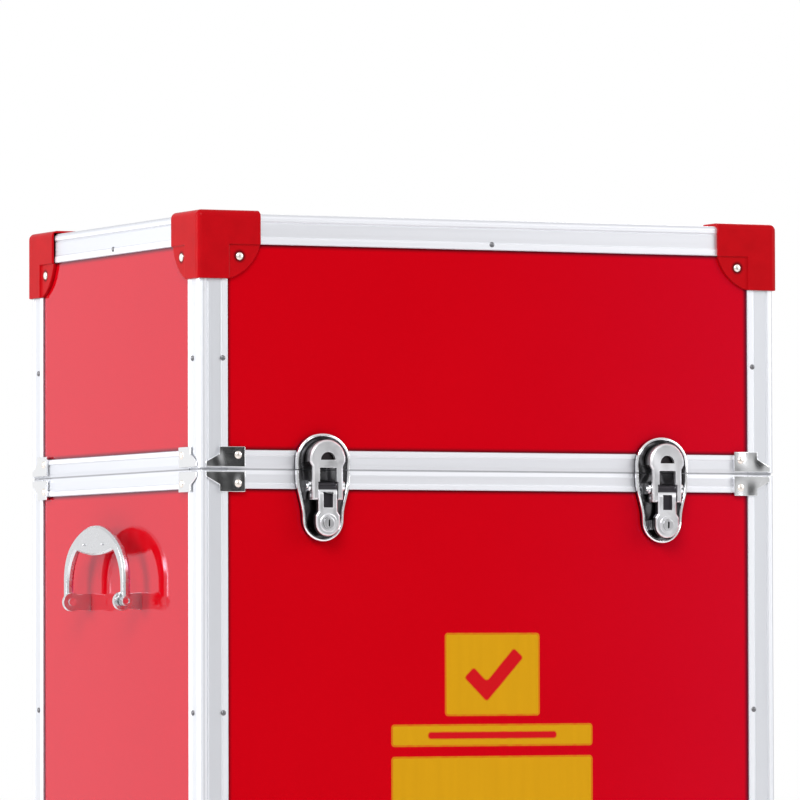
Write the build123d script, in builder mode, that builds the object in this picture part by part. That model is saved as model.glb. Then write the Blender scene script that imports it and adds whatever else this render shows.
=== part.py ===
from build123d import *
import os

# Ballot box built like a flight case: red laminated board held in aluminium edging, with a hinged lid,
# two key-locking toggle latches, a drop handle on each side and a slot in the lid for the papers.
# Millimetres. +Z is up and the front faces -Y. The origin is on the floor, in the middle of the whole
# footprint, latches and hinges included.

# The case, measured over its aluminium and without the corner caps
case_width = 400
case_depth = 276
body_height = 542
lid_height = 158

# Board panels, faced with laminate
board_thickness = 5

# Aluminium edging: an angle whose two legs each have a groove, a sunk band and a lip
edging_leg = 19
edging_wall = 1.5
edging_corner_radius = 3
groove_place = 4.6
groove_width = 1.4
groove_depth = 0.8
band_depth = 0.4
lip_width = 4.2
post_seam_gap = 0.8

# Aluminium rims that meet at the seam, with a tongue on the body and a groove in the lid
rim_height = 12
rim_lip_width = 3.2
rim_bevel_height = 3
rim_bevel_depth = 0.9
body_rim_web = 1.5
lid_rim_web = 4
tongue_width = 1.6
tongue_height = 2
tongue_side_clearance = 0.5
tongue_top_clearance = 0.4

# Three-way plastic corner caps, with a sunk tab for a rivet on each face
cap_leg = 42.5
cap_proud = 2
cap_tab_rise = 0.8
cap_clearance = 0.3
cap_edge_radius = 4
cap_tab_radius = 30
cap_rivet_place = 26.5
cap_rivet_radius = 2.6
cap_rivet_height = 1.1

# Corner braces at the seam, a plate on each face of each corner: places from the corner and the seam
brace_start = 4.6
brace_reach = 32
brace_slope_reach = 13.8
brace_seam_gap = 2.1
brace_tip_height = 4.7
brace_slope_height = 10.2
brace_height = 14
brace_thickness = 1.2
brace_rivet_place = 27
brace_rivet_rise = 9
brace_rivet_radius = 2.4
brace_rivet_height = 1.1

# Ballot slot and its plate
slot_length = 160
slot_width = 12
slot_board_clearance = 3
slot_plate_length = 200
slot_plate_width = 38
slot_plate_thickness = 1.2
slot_plate_corner_radius = 7
slot_screw_radius = 3
slot_screw_height = 1
slot_screw_inset = 9

# Toggle latches: places from the case's sides and from the seam, reach outwards from the aluminium
latch_inset = 82
latch_floor = 1.2
latch_lip_height = 3
latch_lip_width = 2.2
latch_seam_gap = 0.3
latch_half_width = 18.5
strike_shoulder = 5.5
base_shoulder = 20
base_neck_half_width = 14.5
base_neck = 25.5
base_end_centre = 30.5
panel_seat_clearance = 0.3

# The toggle's pivots and its lever
pivot_out = 5
pivot_drop = 10
claw_arm = 6
pivot_pin_radius = 1.5
claw_pin_radius = 1.25
pin_clearance = 0.05
side_clearance = 0.4
hub_radius = 3
lever_half_width = 6.5
lever_face = 10.4
lever_back = 6
lever_shoulder_drop = 4.5
lever_flare = 16
lever_flare_length = 2.4
paddle_radius = 8.2
paddle_drop = 23
lever_window_half_width = 3.2
lever_window_top = 4
lever_window_height = 9.5
lever_window_depth = 1.4
lever_edge_chamfer = 0.8
cheek_thickness = 1.5
cheek_radius = 3.4
pin_head_height = 0.7

# The claw: an arched hood over the strike's rib, on two rails beside the lever
claw_rail_width = 3.4
claw_front = 2.5
claw_back = 2
claw_arch_radius = 12
claw_arch_rise = 6.5
claw_arch_wall = 1.6
claw_hood_foot = 5
claw_taper = 3
claw_window_half_width = 5.7
claw_window_top = 1.2
claw_window_foot = 7.5
claw_eye_radius = 2.6
claw_moon_radius = 4.9
claw_moon_foot = 6
claw_edge_chamfer = 1
rib_clearance = 0.4
rib_out = 5.5
rib_foot = 3.5

# Key lock in the paddle
barrel_radius = 5.6
barrel_rise = 0.9
plug_radius = 3.6
plug_rise = 0.5
plug_back = 3.6
key_slot_length = 4.4
key_slot_width = 1.2
key_slot_depth = 3
cam_thickness = 1.2
cam_width = 3
cam_reach = 7.5
keeper_gap = 0.4
keeper_thickness = 1
keeper_inset = 5.6
keeper_wall = 1.4
keeper_half_height = 3

# Side handles: a cast arch outside its two brackets, places from its pivots
handle_drop = 80.5
handle_standoff = 13
handle_half_width = 49.8
handle_leg_width = 6.5
handle_thickness = 4.8
handle_height = 48
handle_outer_leg_height = 13.8
handle_shoulder_half_width = 38
handle_shoulder_height = 36.2
handle_inner_leg_height = 9
handle_grip_half_width = 30.1
handle_grip_corner_height = 32.6
handle_grip_belly_height = 29.2
handle_grip_corner_radius = 2.5
handle_edge_chamfer = 1.3
handle_eye_radius = 3.2
handle_pin_radius = 1.6
handle_pin_head_radius = 2.5
handle_pin_head_height = 0.7
handle_pin_sink = 0.8
handle_side_clearance = 0.4
bracket_ear_thickness = 3
bracket_ear_radius = 6
bracket_arm_half_height = 4.5
bracket_foot_half_height = 5.5
bracket_dish_radius = 4.6
bracket_dish_depth = 0.6
bracket_screw_radius = 4
bracket_screw_height = 1.2

# Back hinges, their middles measured from the case's sides
hinge_inset = 90
hinge_width = 60
hinge_thickness = 1.6
hinge_knuckle_radius = 3.5
hinge_knuckle_clearance = 0.3
hinge_pin_radius = 1.75
hinge_pin_head_radius = 2.6
hinge_pin_head_height = 1
hinge_leaf_height = 32
hinge_joggle_height = 1.6
hinge_seam_gap = 0.2
hinge_notch_clearance = 0.4
hinge_rivet_radius = 2.4
hinge_rivet_height = 1.1
hinge_rivet_inset = 10
hinge_rivet_drop = 24

# Rivet and screw heads are drawn with this many sides, which slope in by this many degrees
rivet_sides = 8
rivet_taper = 40

# Every cut runs this far past what it cuts
overrun = 5

# Places worked out from the sizes above
latch_offset = case_width / 2 - latch_inset
hinge_offset = case_width / 2 - hinge_inset
latch_reach = lever_face + barrel_rise + plug_rise
hinge_axis_out = hinge_knuckle_radius + hinge_knuckle_clearance
hinge_reach = hinge_axis_out + hinge_knuckle_radius
case_y = (latch_reach - hinge_reach) / 2
x_left = -case_width / 2
y_front = case_y - case_depth / 2
y_back = case_y + case_depth / 2
z_bottom = cap_proud
z_seam = z_bottom + body_height
z_top = z_seam + lid_height
z_middle = (z_bottom + z_top) / 2
rim_depth = edging_wall + board_thickness + edging_wall
board_inside = edging_wall + board_thickness
inner_half_width = case_width / 2 - board_inside

# Planes that the case is symmetrical about, and the seam
left_right = Plane.YZ
front_back = Plane.XZ.offset(-case_y)
top_bottom = Plane.XY.offset(z_middle)
seam = Plane.XY.offset(z_seam)

parts_folder = "parts"
os.makedirs(parts_folder, exist_ok=True)


def save(part, name):
    part.label = name
    export_step(part, parts_folder + "/" + name + ".step")


def mirrored(source, about):
    with BuildPart() as copy:
        add(source)
        mirror(about=about, mode=Mode.REPLACE)
    return copy.part


def front_plane(x, z):
    """Faces the viewer of the front: local x is +X, local y is +Z and the normal points outwards."""
    return Plane(origin=(x, y_front, z), x_dir=(1, 0, 0), z_dir=(0, -1, 0))


def front_profile_plane(x, z):
    """Seen from the side: local x points out of the front and local y is +Z."""
    return Plane(origin=(x, y_front, z), x_dir=(0, -1, 0), z_dir=(-1, 0, 0))


# Board panels. Front and back run the full width, the sides stand between them, and the bottom and
# top boards close the ends.
body_board_foot = z_bottom + board_inside
body_board_top = z_seam - body_rim_web
lid_board_foot = z_seam + lid_rim_web
lid_board_top = z_top - board_inside
board_half_width = case_width / 2 - edging_wall
board_half_depth = case_depth / 2 - edging_wall


def wall_board(foot, head, side):
    """One upright panel, the front one or the left one."""
    with BuildPart() as board:
        with BuildSketch(Plane.XY.offset(foot)):
            if side:
                with Locations((-board_half_width, case_y)):
                    Rectangle(board_thickness, 2 * (board_half_depth - board_thickness),
                              align=(Align.MIN, Align.CENTER))
            else:
                with Locations((0, y_front + edging_wall)):
                    Rectangle(2 * board_half_width, board_thickness, align=(Align.CENTER, Align.MIN))
        extrude(amount=head - foot)
    return board.part


for owner, foot, head in (("body", body_board_foot, body_board_top), ("lid", lid_board_foot, lid_board_top)):
    front_board = wall_board(foot, head, False)
    left_board = wall_board(foot, head, True)
    save(front_board, owner + "_front_panel")
    save(mirrored(front_board, front_back), owner + "_back_panel")
    save(left_board, owner + "_left_panel")
    save(mirrored(left_board, left_right), owner + "_right_panel")

with BuildPart() as bottom_panel:
    with BuildSketch(Plane.XY.offset(z_bottom + edging_wall)):
        with Locations((0, case_y)):
            Rectangle(2 * board_half_width, 2 * board_half_depth)
    extrude(amount=board_thickness)
save(bottom_panel.part, "bottom_panel")

# The top board has the slot cut a little larger than the plate's own slot
with BuildPart() as lid_top_panel:
    with BuildSketch(Plane.XY.offset(z_top - board_inside)):
        with Locations((0, case_y)):
            Rectangle(2 * board_half_width, 2 * board_half_depth)
            SlotOverall(slot_length + 2 * slot_board_clearance, slot_width + 2 * slot_board_clearance,
                        mode=Mode.SUBTRACT)
    extrude(amount=board_thickness)
save(lid_top_panel.part, "lid_top_panel")


# Edging. The outline has its outer corner at the local origin and a leg along each local axis.
def edging_outline():
    leg = [
        (edging_corner_radius, 0),
        (groove_place, 0),
        (groove_place + groove_width / 2, groove_depth),
        (groove_place + groove_width, band_depth),
        (edging_leg - lip_width - band_depth, band_depth),
        (edging_leg - lip_width, 0),
        (edging_leg - band_depth, 0),
        (edging_leg, band_depth),
        (edging_leg, edging_wall),
    ]
    other_leg = [(along, inward) for inward, along in reversed(leg)]
    with BuildSketch() as outline:
        with BuildLine():
            Polyline(*leg, (edging_wall, edging_wall), *other_leg)
            RadiusArc((0, edging_corner_radius), (edging_corner_radius, 0), -edging_corner_radius)
        make_face()
    return outline.sketch_local


with BuildPart() as body_corner_posts:
    with BuildSketch(Plane(origin=(x_left, y_front, z_bottom))):
        add(edging_outline())
    extrude(amount=body_height - post_seam_gap)
    mirror(about=left_right)
    mirror(about=front_back)
save(body_corner_posts.part, "body_corner_posts")

with BuildPart() as lid_corner_posts:
    with BuildSketch(Plane(origin=(x_left, y_front, z_seam + post_seam_gap))):
        add(edging_outline())
    extrude(amount=lid_height - post_seam_gap)
    mirror(about=left_right)
    mirror(about=front_back)
save(lid_corner_posts.part, "lid_corner_posts")

# The rails lie between the posts
rail_half_width = case_width / 2 - edging_leg
rail_half_depth = case_depth / 2 - edging_leg

with BuildPart() as front_rail:
    with BuildSketch(Plane(origin=(0, y_front, z_top), x_dir=(0, 1, 0), z_dir=(-1, 0, 0))):
        add(edging_outline())
    extrude(amount=rail_half_width, both=True)

with BuildPart() as left_rail:
    with BuildSketch(Plane(origin=(x_left, case_y, z_top), x_dir=(1, 0, 0), z_dir=(0, 1, 0))):
        add(edging_outline())
    extrude(amount=rail_half_depth, both=True)

save(front_rail.part, "lid_front_rail")
save(mirrored(front_rail.part, front_back), "lid_back_rail")
save(left_rail.part, "lid_left_rail")
save(mirrored(left_rail.part, left_right), "lid_right_rail")

with BuildPart() as bottom_rails:
    add(mirrored(front_rail.part, top_bottom))
    add(mirrored(left_rail.part, top_bottom))
    mirror(about=left_right)
    mirror(about=front_back)
save(bottom_rails.part, "bottom_rails")


# Rims. Local x runs inwards from the outer face and local y away from the seam.
tongue_near = (rim_depth - tongue_width) / 2
tongue_far = tongue_near + tongue_width
tongue_edge = [(tongue_near, 0), (tongue_near, -tongue_height), (tongue_far, -tongue_height), (tongue_far, 0)]
groove_near = tongue_near - tongue_side_clearance
groove_far = tongue_far + tongue_side_clearance
groove_head = tongue_height + tongue_top_clearance
groove_edge = [(groove_near, 0), (groove_near, groove_head), (groove_far, groove_head), (groove_far, 0)]


def rim(plane, half_length, leg_half_length, inner_half_length, web, seam_edge):
    """A channel over the board's edge. Its outer leg stops at the posts, its inner leg at the next board."""
    with BuildPart() as section:
        with BuildSketch(plane):
            with BuildLine():
                Polyline(
                    (band_depth, rim_height),
                    (0, rim_height - band_depth),
                    (0, rim_height - rim_lip_width),
                    (band_depth, rim_height - rim_lip_width - band_depth),
                    (band_depth, rim_bevel_height),
                    (rim_bevel_depth, 0),
                    *seam_edge,
                    (rim_depth, 0),
                    (rim_depth, rim_height),
                    (board_inside, rim_height),
                    (board_inside, web),
                    (edging_wall, web),
                    (edging_wall, rim_height),
                    close=True,
                )
            make_face()
        extrude(amount=half_length, both=True)
        for end in (1, -1):
            with BuildSketch(plane.offset(end * leg_half_length)):
                with Locations((edging_wall, -overrun)):
                    Rectangle(edging_wall + overrun, rim_height + 2 * overrun, align=(Align.MAX, Align.MIN))
            extrude(amount=end * (half_length + overrun - leg_half_length), mode=Mode.SUBTRACT)
            with BuildSketch(plane.offset(end * inner_half_length)):
                with Locations((board_inside, web)):
                    Rectangle(rim_depth, rim_height + overrun, align=(Align.MIN, Align.MIN))
            extrude(amount=end * (half_length + overrun - inner_half_length), mode=Mode.SUBTRACT)
    return section.part


side_rim_half_length = case_depth / 2 - rim_depth
for owner, upwards, web, seam_edge in (
    ("body", -1, body_rim_web, tongue_edge),
    ("lid", 1, lid_rim_web, groove_edge),
):
    front_rim_plane = Plane(origin=(0, y_front, z_seam), x_dir=(0, 1, 0), z_dir=(upwards, 0, 0))
    front_rim = rim(front_rim_plane, board_half_width, rail_half_width, inner_half_width, web, seam_edge)
    left_rim_plane = Plane(origin=(x_left, case_y, z_seam), x_dir=(1, 0, 0), z_dir=(0, -upwards, 0))
    left_rim = rim(left_rim_plane, side_rim_half_length, rail_half_depth, side_rim_half_length, web, seam_edge)
    save(front_rim, owner + "_front_rim")
    save(mirrored(front_rim, front_back), owner + "_back_rim")
    save(left_rim, owner + "_left_rim")
    save(mirrored(left_rim, left_right), owner + "_right_rim")

# Corner caps. The first is built at the bottom front left corner, with the case along +X, +Y and +Z.
cap_reach = cap_leg - cap_proud
cap_step = edging_leg + cap_clearance
cap_corner = (x_left, y_front, z_bottom)

with BuildPart() as first_cap:
    for face in (Plane.XY, Plane.YZ, Plane.ZX):
        face_plane = Plane(origin=cap_corner, x_dir=face.x_dir, z_dir=face.z_dir)
        with BuildSketch(face_plane.offset(-cap_proud)):
            with BuildLine():
                Polyline(
                    (-cap_proud, -cap_proud),
                    (cap_reach, -cap_proud),
                    (cap_reach, cap_step),
                    (cap_step, cap_step),
                    (cap_step, cap_reach),
                    (-cap_proud, cap_reach),
                    close=True,
                )
            make_face()
        extrude(amount=cap_proud)
        with BuildSketch(face_plane.offset(-cap_tab_rise)):
            with BuildLine():
                Line((cap_step, cap_step), (cap_reach, cap_step))
                RadiusArc((cap_reach, cap_step), (cap_step, cap_reach), -cap_tab_radius)
                Line((cap_step, cap_reach), (cap_step, cap_step))
            make_face()
        extrude(amount=cap_tab_rise + edging_wall)
    outer_edges = first_cap.edges().sort_by_distance(
        (x_left - cap_proud, y_front - cap_proud, z_bottom - cap_proud)
    )[:3]
    fillet(outer_edges, radius=cap_edge_radius)

bottom_caps = {"front_left": first_cap.part}
bottom_caps["front_right"] = mirrored(bottom_caps["front_left"], left_right)
bottom_caps["back_left"] = mirrored(bottom_caps["front_left"], front_back)
bottom_caps["back_right"] = mirrored(bottom_caps["back_left"], left_right)
for corner, cap in bottom_caps.items():
    save(cap, corner + "_bottom_cap")
    save(mirrored(cap, top_bottom), corner + "_top_cap")

# Corner braces. The first is the lid's front left one: a front plate, and its image about the
# diagonal through the corner.
diagonal = Plane(origin=(x_left, y_front, z_seam), x_dir=(0, 0, 1), z_dir=(1, -1, 0))
with BuildPart() as first_brace:
    with BuildSketch(front_plane(x_left, z_seam)):
        with BuildLine():
            Polyline(
                (brace_start, brace_seam_gap),
                (brace_reach, brace_seam_gap),
                (brace_reach, brace_height),
                (brace_slope_reach, brace_height),
                (brace_slope_reach, brace_slope_height),
                (brace_start, brace_tip_height),
                close=True,
            )
        make_face()
    extrude(amount=brace_thickness)
    mirror(about=diagonal)

with BuildPart() as lid_corner_braces:
    add(first_brace.part)
    mirror(about=left_right)
    mirror(about=front_back)
save(lid_corner_braces.part, "lid_corner_braces")
save(mirrored(lid_corner_braces.part, seam), "body_corner_braces")

# Slot plate, lying on the top board
slot_plate_seat = Plane.XY.offset(z_top - edging_wall)
with BuildPart() as slot_plate:
    with BuildSketch(slot_plate_seat):
        with Locations((0, case_y)):
            RectangleRounded(slot_plate_length, slot_plate_width, slot_plate_corner_radius)
            SlotOverall(slot_length, slot_width, mode=Mode.SUBTRACT)
    extrude(amount=slot_plate_thickness)
save(slot_plate.part, "slot_plate")

# Toggle latch, the left one. Its parts are drawn from the seam at the latch's middle.
latch_face = front_plane(-latch_offset, z_seam)
latch_profile = front_profile_plane(-latch_offset, z_seam)
pivot_z = -pivot_drop
claw_pin_z = pivot_z - claw_arm
panel_seat = rim_height + panel_seat_clearance
board_face = -edging_wall


def dished_plate(plane, outline, seat_foot, seat_height):
    """A pressed plate on the rim and, past the rim, down on the board. Its lip is open at the seam."""
    with BuildPart() as plate:
        with BuildSketch(plane):
            add(outline(0))
        extrude(amount=latch_lip_height)
        with BuildSketch(plane.offset(latch_floor)):
            add(outline(latch_lip_width))
        extrude(amount=latch_lip_height, mode=Mode.SUBTRACT)
        with BuildSketch(plane.offset(board_face)):
            add(outline(0))
            with Locations((0, seat_foot)):
                Rectangle(2 * latch_half_width + overrun, seat_height, align=(Align.CENTER, Align.MIN),
                          mode=Mode.INTERSECT)
        extrude(amount=-board_face)
    return plate.part


def strike_outline(inset):
    half_width = latch_half_width - inset
    foot = latch_seam_gap - inset
    with BuildSketch() as outline:
        with BuildLine():
            Polyline((-half_width, strike_shoulder), (-half_width, foot), (half_width, foot),
                     (half_width, strike_shoulder))
            RadiusArc((half_width, strike_shoulder), (-half_width, strike_shoulder), -half_width)
        make_face()
    return outline.sketch_local


def base_outline(inset):
    half_width = latch_half_width - inset
    neck = base_neck_half_width - inset
    head = inset - latch_seam_gap
    with BuildSketch() as outline:
        with BuildLine():
            Polyline((-neck, -base_end_centre), (-neck, -base_neck), (-half_width, -base_shoulder),
                     (-half_width, head), (half_width, head), (half_width, -base_shoulder),
                     (neck, -base_neck), (neck, -base_end_centre))
            RadiusArc((neck, -base_end_centre), (-neck, -base_end_centre), neck)
        make_face()
    return outline.sketch_local


strike_height = strike_shoulder + latch_half_width
rib_radius = claw_arch_radius - claw_arch_wall - rib_clearance
with BuildPart() as left_strike:
    add(dished_plate(latch_face, strike_outline, panel_seat, strike_height))
    with BuildSketch(latch_face.offset(latch_floor)):
        with BuildLine():
            Polyline((-rib_radius, claw_arch_rise), (-rib_radius, rib_foot), (rib_radius, rib_foot),
                     (rib_radius, claw_arch_rise))
            RadiusArc((rib_radius, claw_arch_rise), (-rib_radius, claw_arch_rise), -rib_radius)
        make_face()
    extrude(amount=rib_out - latch_floor)
save(left_strike.part, "left_latch_strike")
save(mirrored(left_strike.part, left_right), "right_latch_strike")

rail_inside = lever_half_width + side_clearance
rail_outside = rail_inside + claw_rail_width
cheek_inside = rail_outside + side_clearance
cheek_outside = cheek_inside + cheek_thickness
plug_z = pivot_z - paddle_drop
keeper_out = plug_back + keeper_gap
base_length = base_end_centre + base_neck_half_width
with BuildPart() as left_base:
    add(dished_plate(latch_face, base_outline, -base_length, base_length - panel_seat))
    # Two cheeks carry the pivot pin
    for side in (1, -1):
        with BuildSketch(latch_profile.offset(side * cheek_inside)):
            with Locations((latch_floor, pivot_z)):
                Rectangle(pivot_out - latch_floor, 2 * cheek_radius, align=(Align.MIN, Align.CENTER))
            with Locations((pivot_out, pivot_z)):
                Circle(cheek_radius)
                Circle(pivot_pin_radius + pin_clearance, mode=Mode.SUBTRACT)
        extrude(amount=side * cheek_thickness)
    # The keeper stands beside the key plug, and its lip catches the cam once the key is turned
    with BuildSketch(latch_face.offset(latch_floor)):
        with Locations((cam_reach + keeper_gap, plug_z)):
            Rectangle(keeper_wall, 2 * keeper_half_height, align=(Align.MIN, Align.CENTER))
    extrude(amount=keeper_out + keeper_thickness - latch_floor)
    with BuildSketch(latch_face.offset(keeper_out)):
        with Locations((keeper_inset, plug_z)):
            Rectangle(cam_reach + keeper_gap + keeper_wall - keeper_inset, 2 * keeper_half_height,
                      align=(Align.MIN, Align.CENTER))
    extrude(amount=keeper_thickness)
save(left_base.part, "left_latch_base")
save(mirrored(left_base.part, left_right), "right_latch_base")

# Lever: its side profile cut to its front outline, with the barrel on its paddle
paddle_end = plug_z - paddle_radius
with BuildPart() as left_lever:
    with BuildSketch(latch_profile):
        with BuildLine():
            RadiusArc((pivot_out - hub_radius, pivot_z), (pivot_out + hub_radius, pivot_z), hub_radius)
            Polyline(
                (pivot_out + hub_radius, pivot_z),
                (lever_face, pivot_z - lever_shoulder_drop),
                (lever_face, paddle_end),
                (lever_back, paddle_end),
                (lever_back, claw_pin_z - hub_radius - side_clearance),
                (pivot_out - hub_radius / 2, claw_pin_z - hub_radius),
                (pivot_out - hub_radius, claw_pin_z - hub_radius / 2),
                (pivot_out - hub_radius, pivot_z),
            )
        make_face()
    extrude(amount=paddle_radius, both=True)
    with BuildSketch(latch_face):
        with BuildLine():
            Polyline(
                (-paddle_radius, plug_z),
                (-paddle_radius, pivot_z - lever_flare - lever_flare_length),
                (-lever_half_width, pivot_z - lever_flare),
                (-lever_half_width, pivot_z + hub_radius),
                (lever_half_width, pivot_z + hub_radius),
                (lever_half_width, pivot_z - lever_flare),
                (paddle_radius, pivot_z - lever_flare - lever_flare_length),
                (paddle_radius, plug_z),
            )
            RadiusArc((paddle_radius, plug_z), (-paddle_radius, plug_z), paddle_radius)
        make_face()
    extrude(amount=lever_face + overrun, mode=Mode.INTERSECT)
    face_edges = left_lever.faces().sort_by(Axis.Y)[0].edges()
    chamfer(face_edges, length=lever_edge_chamfer)
    with BuildSketch(latch_face.offset(lever_face - overrun)):
        with Locations((0, plug_z)):
            Circle(barrel_radius)
    extrude(amount=overrun + barrel_rise)
    with BuildSketch(latch_face.offset(lever_face - lever_window_depth)):
        with Locations((0, pivot_z - lever_window_top)):
            Rectangle(2 * lever_window_half_width, lever_window_height, align=(Align.CENTER, Align.MAX))
    extrude(amount=lever_window_depth + overrun, mode=Mode.SUBTRACT)
    with BuildSketch(latch_face):
        with Locations((0, plug_z)):
            Circle(plug_radius + pin_clearance)
    extrude(amount=lever_face + overrun, mode=Mode.SUBTRACT)
    with BuildSketch(latch_profile):
        with Locations((pivot_out, pivot_z)):
            Circle(pivot_pin_radius + pin_clearance)
        with Locations((pivot_out, claw_pin_z)):
            Circle(claw_pin_radius + pin_clearance)
    extrude(amount=paddle_radius + overrun, both=True, mode=Mode.SUBTRACT)
save(left_lever.part, "left_latch_lever")
save(mirrored(left_lever.part, left_right), "right_latch_lever")

# Key plug with its slot, and the cam behind the paddle
with BuildPart() as left_plug:
    with BuildSketch(latch_face.offset(plug_back)):
        with Locations((0, plug_z)):
            Circle(plug_radius)
    extrude(amount=lever_face + barrel_rise + plug_rise - plug_back)
    with BuildSketch(latch_face.offset(plug_back - cam_thickness)):
        with Locations((0, plug_z)):
            Circle(cam_width / 2)
            Rectangle(cam_width, cam_reach, align=(Align.CENTER, Align.MAX))
    extrude(amount=cam_thickness)
    with BuildSketch(latch_face.offset(latch_reach - key_slot_depth)):
        with Locations((0, plug_z)):
            Rectangle(key_slot_width, key_slot_length)
    extrude(amount=key_slot_depth + overrun, mode=Mode.SUBTRACT)
save(left_plug.part, "left_key_plug")
save(mirrored(left_plug.part, left_right), "right_key_plug")

# Claw: the hood and rails in front, the hood's curled wall, and an eye on each rail
claw_plate_back = lever_face - claw_front
claw_foot = claw_pin_z - claw_eye_radius
with BuildPart() as left_claw:
    with BuildSketch(latch_face.offset(claw_plate_back)):
        with BuildLine():
            Polyline(
                (-claw_arch_radius, claw_arch_rise),
                (-claw_arch_radius, claw_hood_foot),
                (-rail_outside, claw_hood_foot - claw_taper),
                (-rail_outside, claw_foot),
                (rail_outside, claw_foot),
                (rail_outside, claw_hood_foot - claw_taper),
                (claw_arch_radius, claw_hood_foot),
                (claw_arch_radius, claw_arch_rise),
            )
            RadiusArc((claw_arch_radius, claw_arch_rise), (-claw_arch_radius, claw_arch_rise),
                      -claw_arch_radius)
        make_face()
    extrude(amount=claw_front)
    chamfer(left_claw.faces().sort_by(Axis.Y)[0].edges(), length=claw_edge_chamfer)
    with BuildSketch(latch_face.offset(claw_back)):
        with BuildLine():
            Polyline(
                (-claw_arch_radius, claw_arch_rise),
                (-claw_arch_radius, claw_hood_foot),
                (claw_arch_radius, claw_hood_foot),
                (claw_arch_radius, claw_arch_rise),
            )
            RadiusArc((claw_arch_radius, claw_arch_rise), (-claw_arch_radius, claw_arch_rise),
                      -claw_arch_radius)
        make_face()
        inner_radius = claw_arch_radius - claw_arch_wall
        with Locations((0, claw_arch_rise)):
            Circle(inner_radius, mode=Mode.SUBTRACT)
            Rectangle(2 * inner_radius, claw_arch_radius, align=(Align.CENTER, Align.MAX), mode=Mode.SUBTRACT)
    extrude(amount=claw_plate_back - claw_back + claw_front / 2)
    for side in (1, -1):
        with BuildSketch(latch_profile.offset(side * rail_inside)):
            with Locations((pivot_out, claw_pin_z)):
                Circle(claw_eye_radius)
                Rectangle(claw_plate_back - pivot_out + claw_front / 2, 2 * claw_eye_radius,
                          align=(Align.MIN, Align.CENTER))
        extrude(amount=side * claw_rail_width)
    # A half-moon hole in the hood and, under the bar below it, a window between the rails. Under the
    # window's foot the rails stand further apart, for the lever.
    with BuildSketch(latch_face.offset(claw_plate_back - overrun)):
        with Locations((0, claw_moon_foot)):
            Circle(claw_moon_radius)
            Rectangle(2 * claw_moon_radius, claw_moon_radius, align=(Align.CENTER, Align.MAX),
                      mode=Mode.SUBTRACT)
        with Locations((0, claw_window_top)):
            Rectangle(2 * claw_window_half_width, claw_window_top + claw_window_foot,
                      align=(Align.CENTER, Align.MAX))
        with Locations((0, -claw_window_foot)):
            Rectangle(2 * rail_inside, overrun - claw_window_foot - claw_foot, align=(Align.CENTER, Align.MAX))
    extrude(amount=claw_front + 2 * overrun, mode=Mode.SUBTRACT)
    with BuildSketch(latch_profile):
        with Locations((pivot_out, claw_pin_z)):
            Circle(claw_pin_radius + pin_clearance)
    extrude(amount=rail_outside + overrun, both=True, mode=Mode.SUBTRACT)
save(left_claw.part, "left_latch_claw")
save(mirrored(left_claw.part, left_right), "right_latch_claw")

# Pins: the pivot pin is held by the cheeks and the claw pin by the claw's eyes
with BuildPart() as pivot_pins:
    with BuildSketch(latch_profile):
        with Locations((pivot_out, pivot_z)):
            Circle(pivot_pin_radius)
    extrude(amount=cheek_outside + pin_head_height, both=True)
    mirror(about=left_right)
save(pivot_pins.part, "latch_pivot_pins")

with BuildPart() as left_claw_pin:
    with BuildSketch(latch_profile):
        with Locations((pivot_out, claw_pin_z)):
            Circle(claw_pin_radius)
    extrude(amount=rail_outside + side_clearance / 2, both=True)
save(left_claw_pin.part, "left_claw_pin")
save(mirrored(left_claw_pin.part, left_right), "right_claw_pin")

# Handle on the left side. Local x runs forwards, local y up and the normal outwards.
handle_z = z_seam - handle_drop
board_x = x_left + edging_wall
handle_face = Plane(origin=(board_x, case_y, handle_z), x_dir=(0, -1, 0), z_dir=(-1, 0, 0))
leg_inside = handle_half_width - handle_leg_width
with BuildPart() as left_handle:
    with BuildSketch(handle_face.offset(handle_standoff - handle_thickness / 2)) as arch:
        with BuildLine():
            for side in (1, -1):
                Line((side * leg_inside, 0), (side * handle_half_width, 0))
                Line((side * handle_half_width, 0), (side * handle_half_width, handle_outer_leg_height))
                TangentArc(
                    (side * handle_half_width, handle_outer_leg_height),
                    (side * handle_shoulder_half_width, handle_shoulder_height),
                    tangent=(0, 1),
                )
                Line((side * leg_inside, 0), (side * leg_inside, handle_inner_leg_height))
                TangentArc(
                    (side * leg_inside, handle_inner_leg_height),
                    (side * handle_grip_half_width, handle_grip_corner_height),
                    tangent=(0, 1),
                )
            ThreePointArc(
                (handle_shoulder_half_width, handle_shoulder_height),
                (0, handle_height),
                (-handle_shoulder_half_width, handle_shoulder_height),
            )
            ThreePointArc(
                (handle_grip_half_width, handle_grip_corner_height),
                (0, handle_grip_belly_height),
                (-handle_grip_half_width, handle_grip_corner_height),
            )
        make_face()
        for side in (1, -1):
            grip_corner = arch.vertices().sort_by_distance(
                (side * handle_grip_half_width, handle_grip_corner_height)
            )[0]
            fillet(grip_corner, radius=handle_grip_corner_radius)
    extrude(amount=handle_thickness)
    long_edges = left_handle.faces().filter_by(Axis.X).edges().filter_by(
        lambda edge: edge.center().Z > handle_z
    )
    chamfer(long_edges, length=handle_edge_chamfer)
    for side in (1, -1):
        eye_plane = Plane(origin=(board_x - handle_standoff, case_y - side * leg_inside, handle_z),
                          x_dir=(0, 0, 1), z_dir=(0, -side, 0))
        with BuildSketch(eye_plane):
            Circle(handle_eye_radius)
        extrude(amount=handle_leg_width)
        with BuildSketch(eye_plane):
            Circle(handle_pin_radius + pin_clearance)
        extrude(amount=handle_leg_width + overrun, mode=Mode.SUBTRACT)
save(left_handle.part, "left_handle")
save(mirrored(left_handle.part, left_right), "right_handle")

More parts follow.
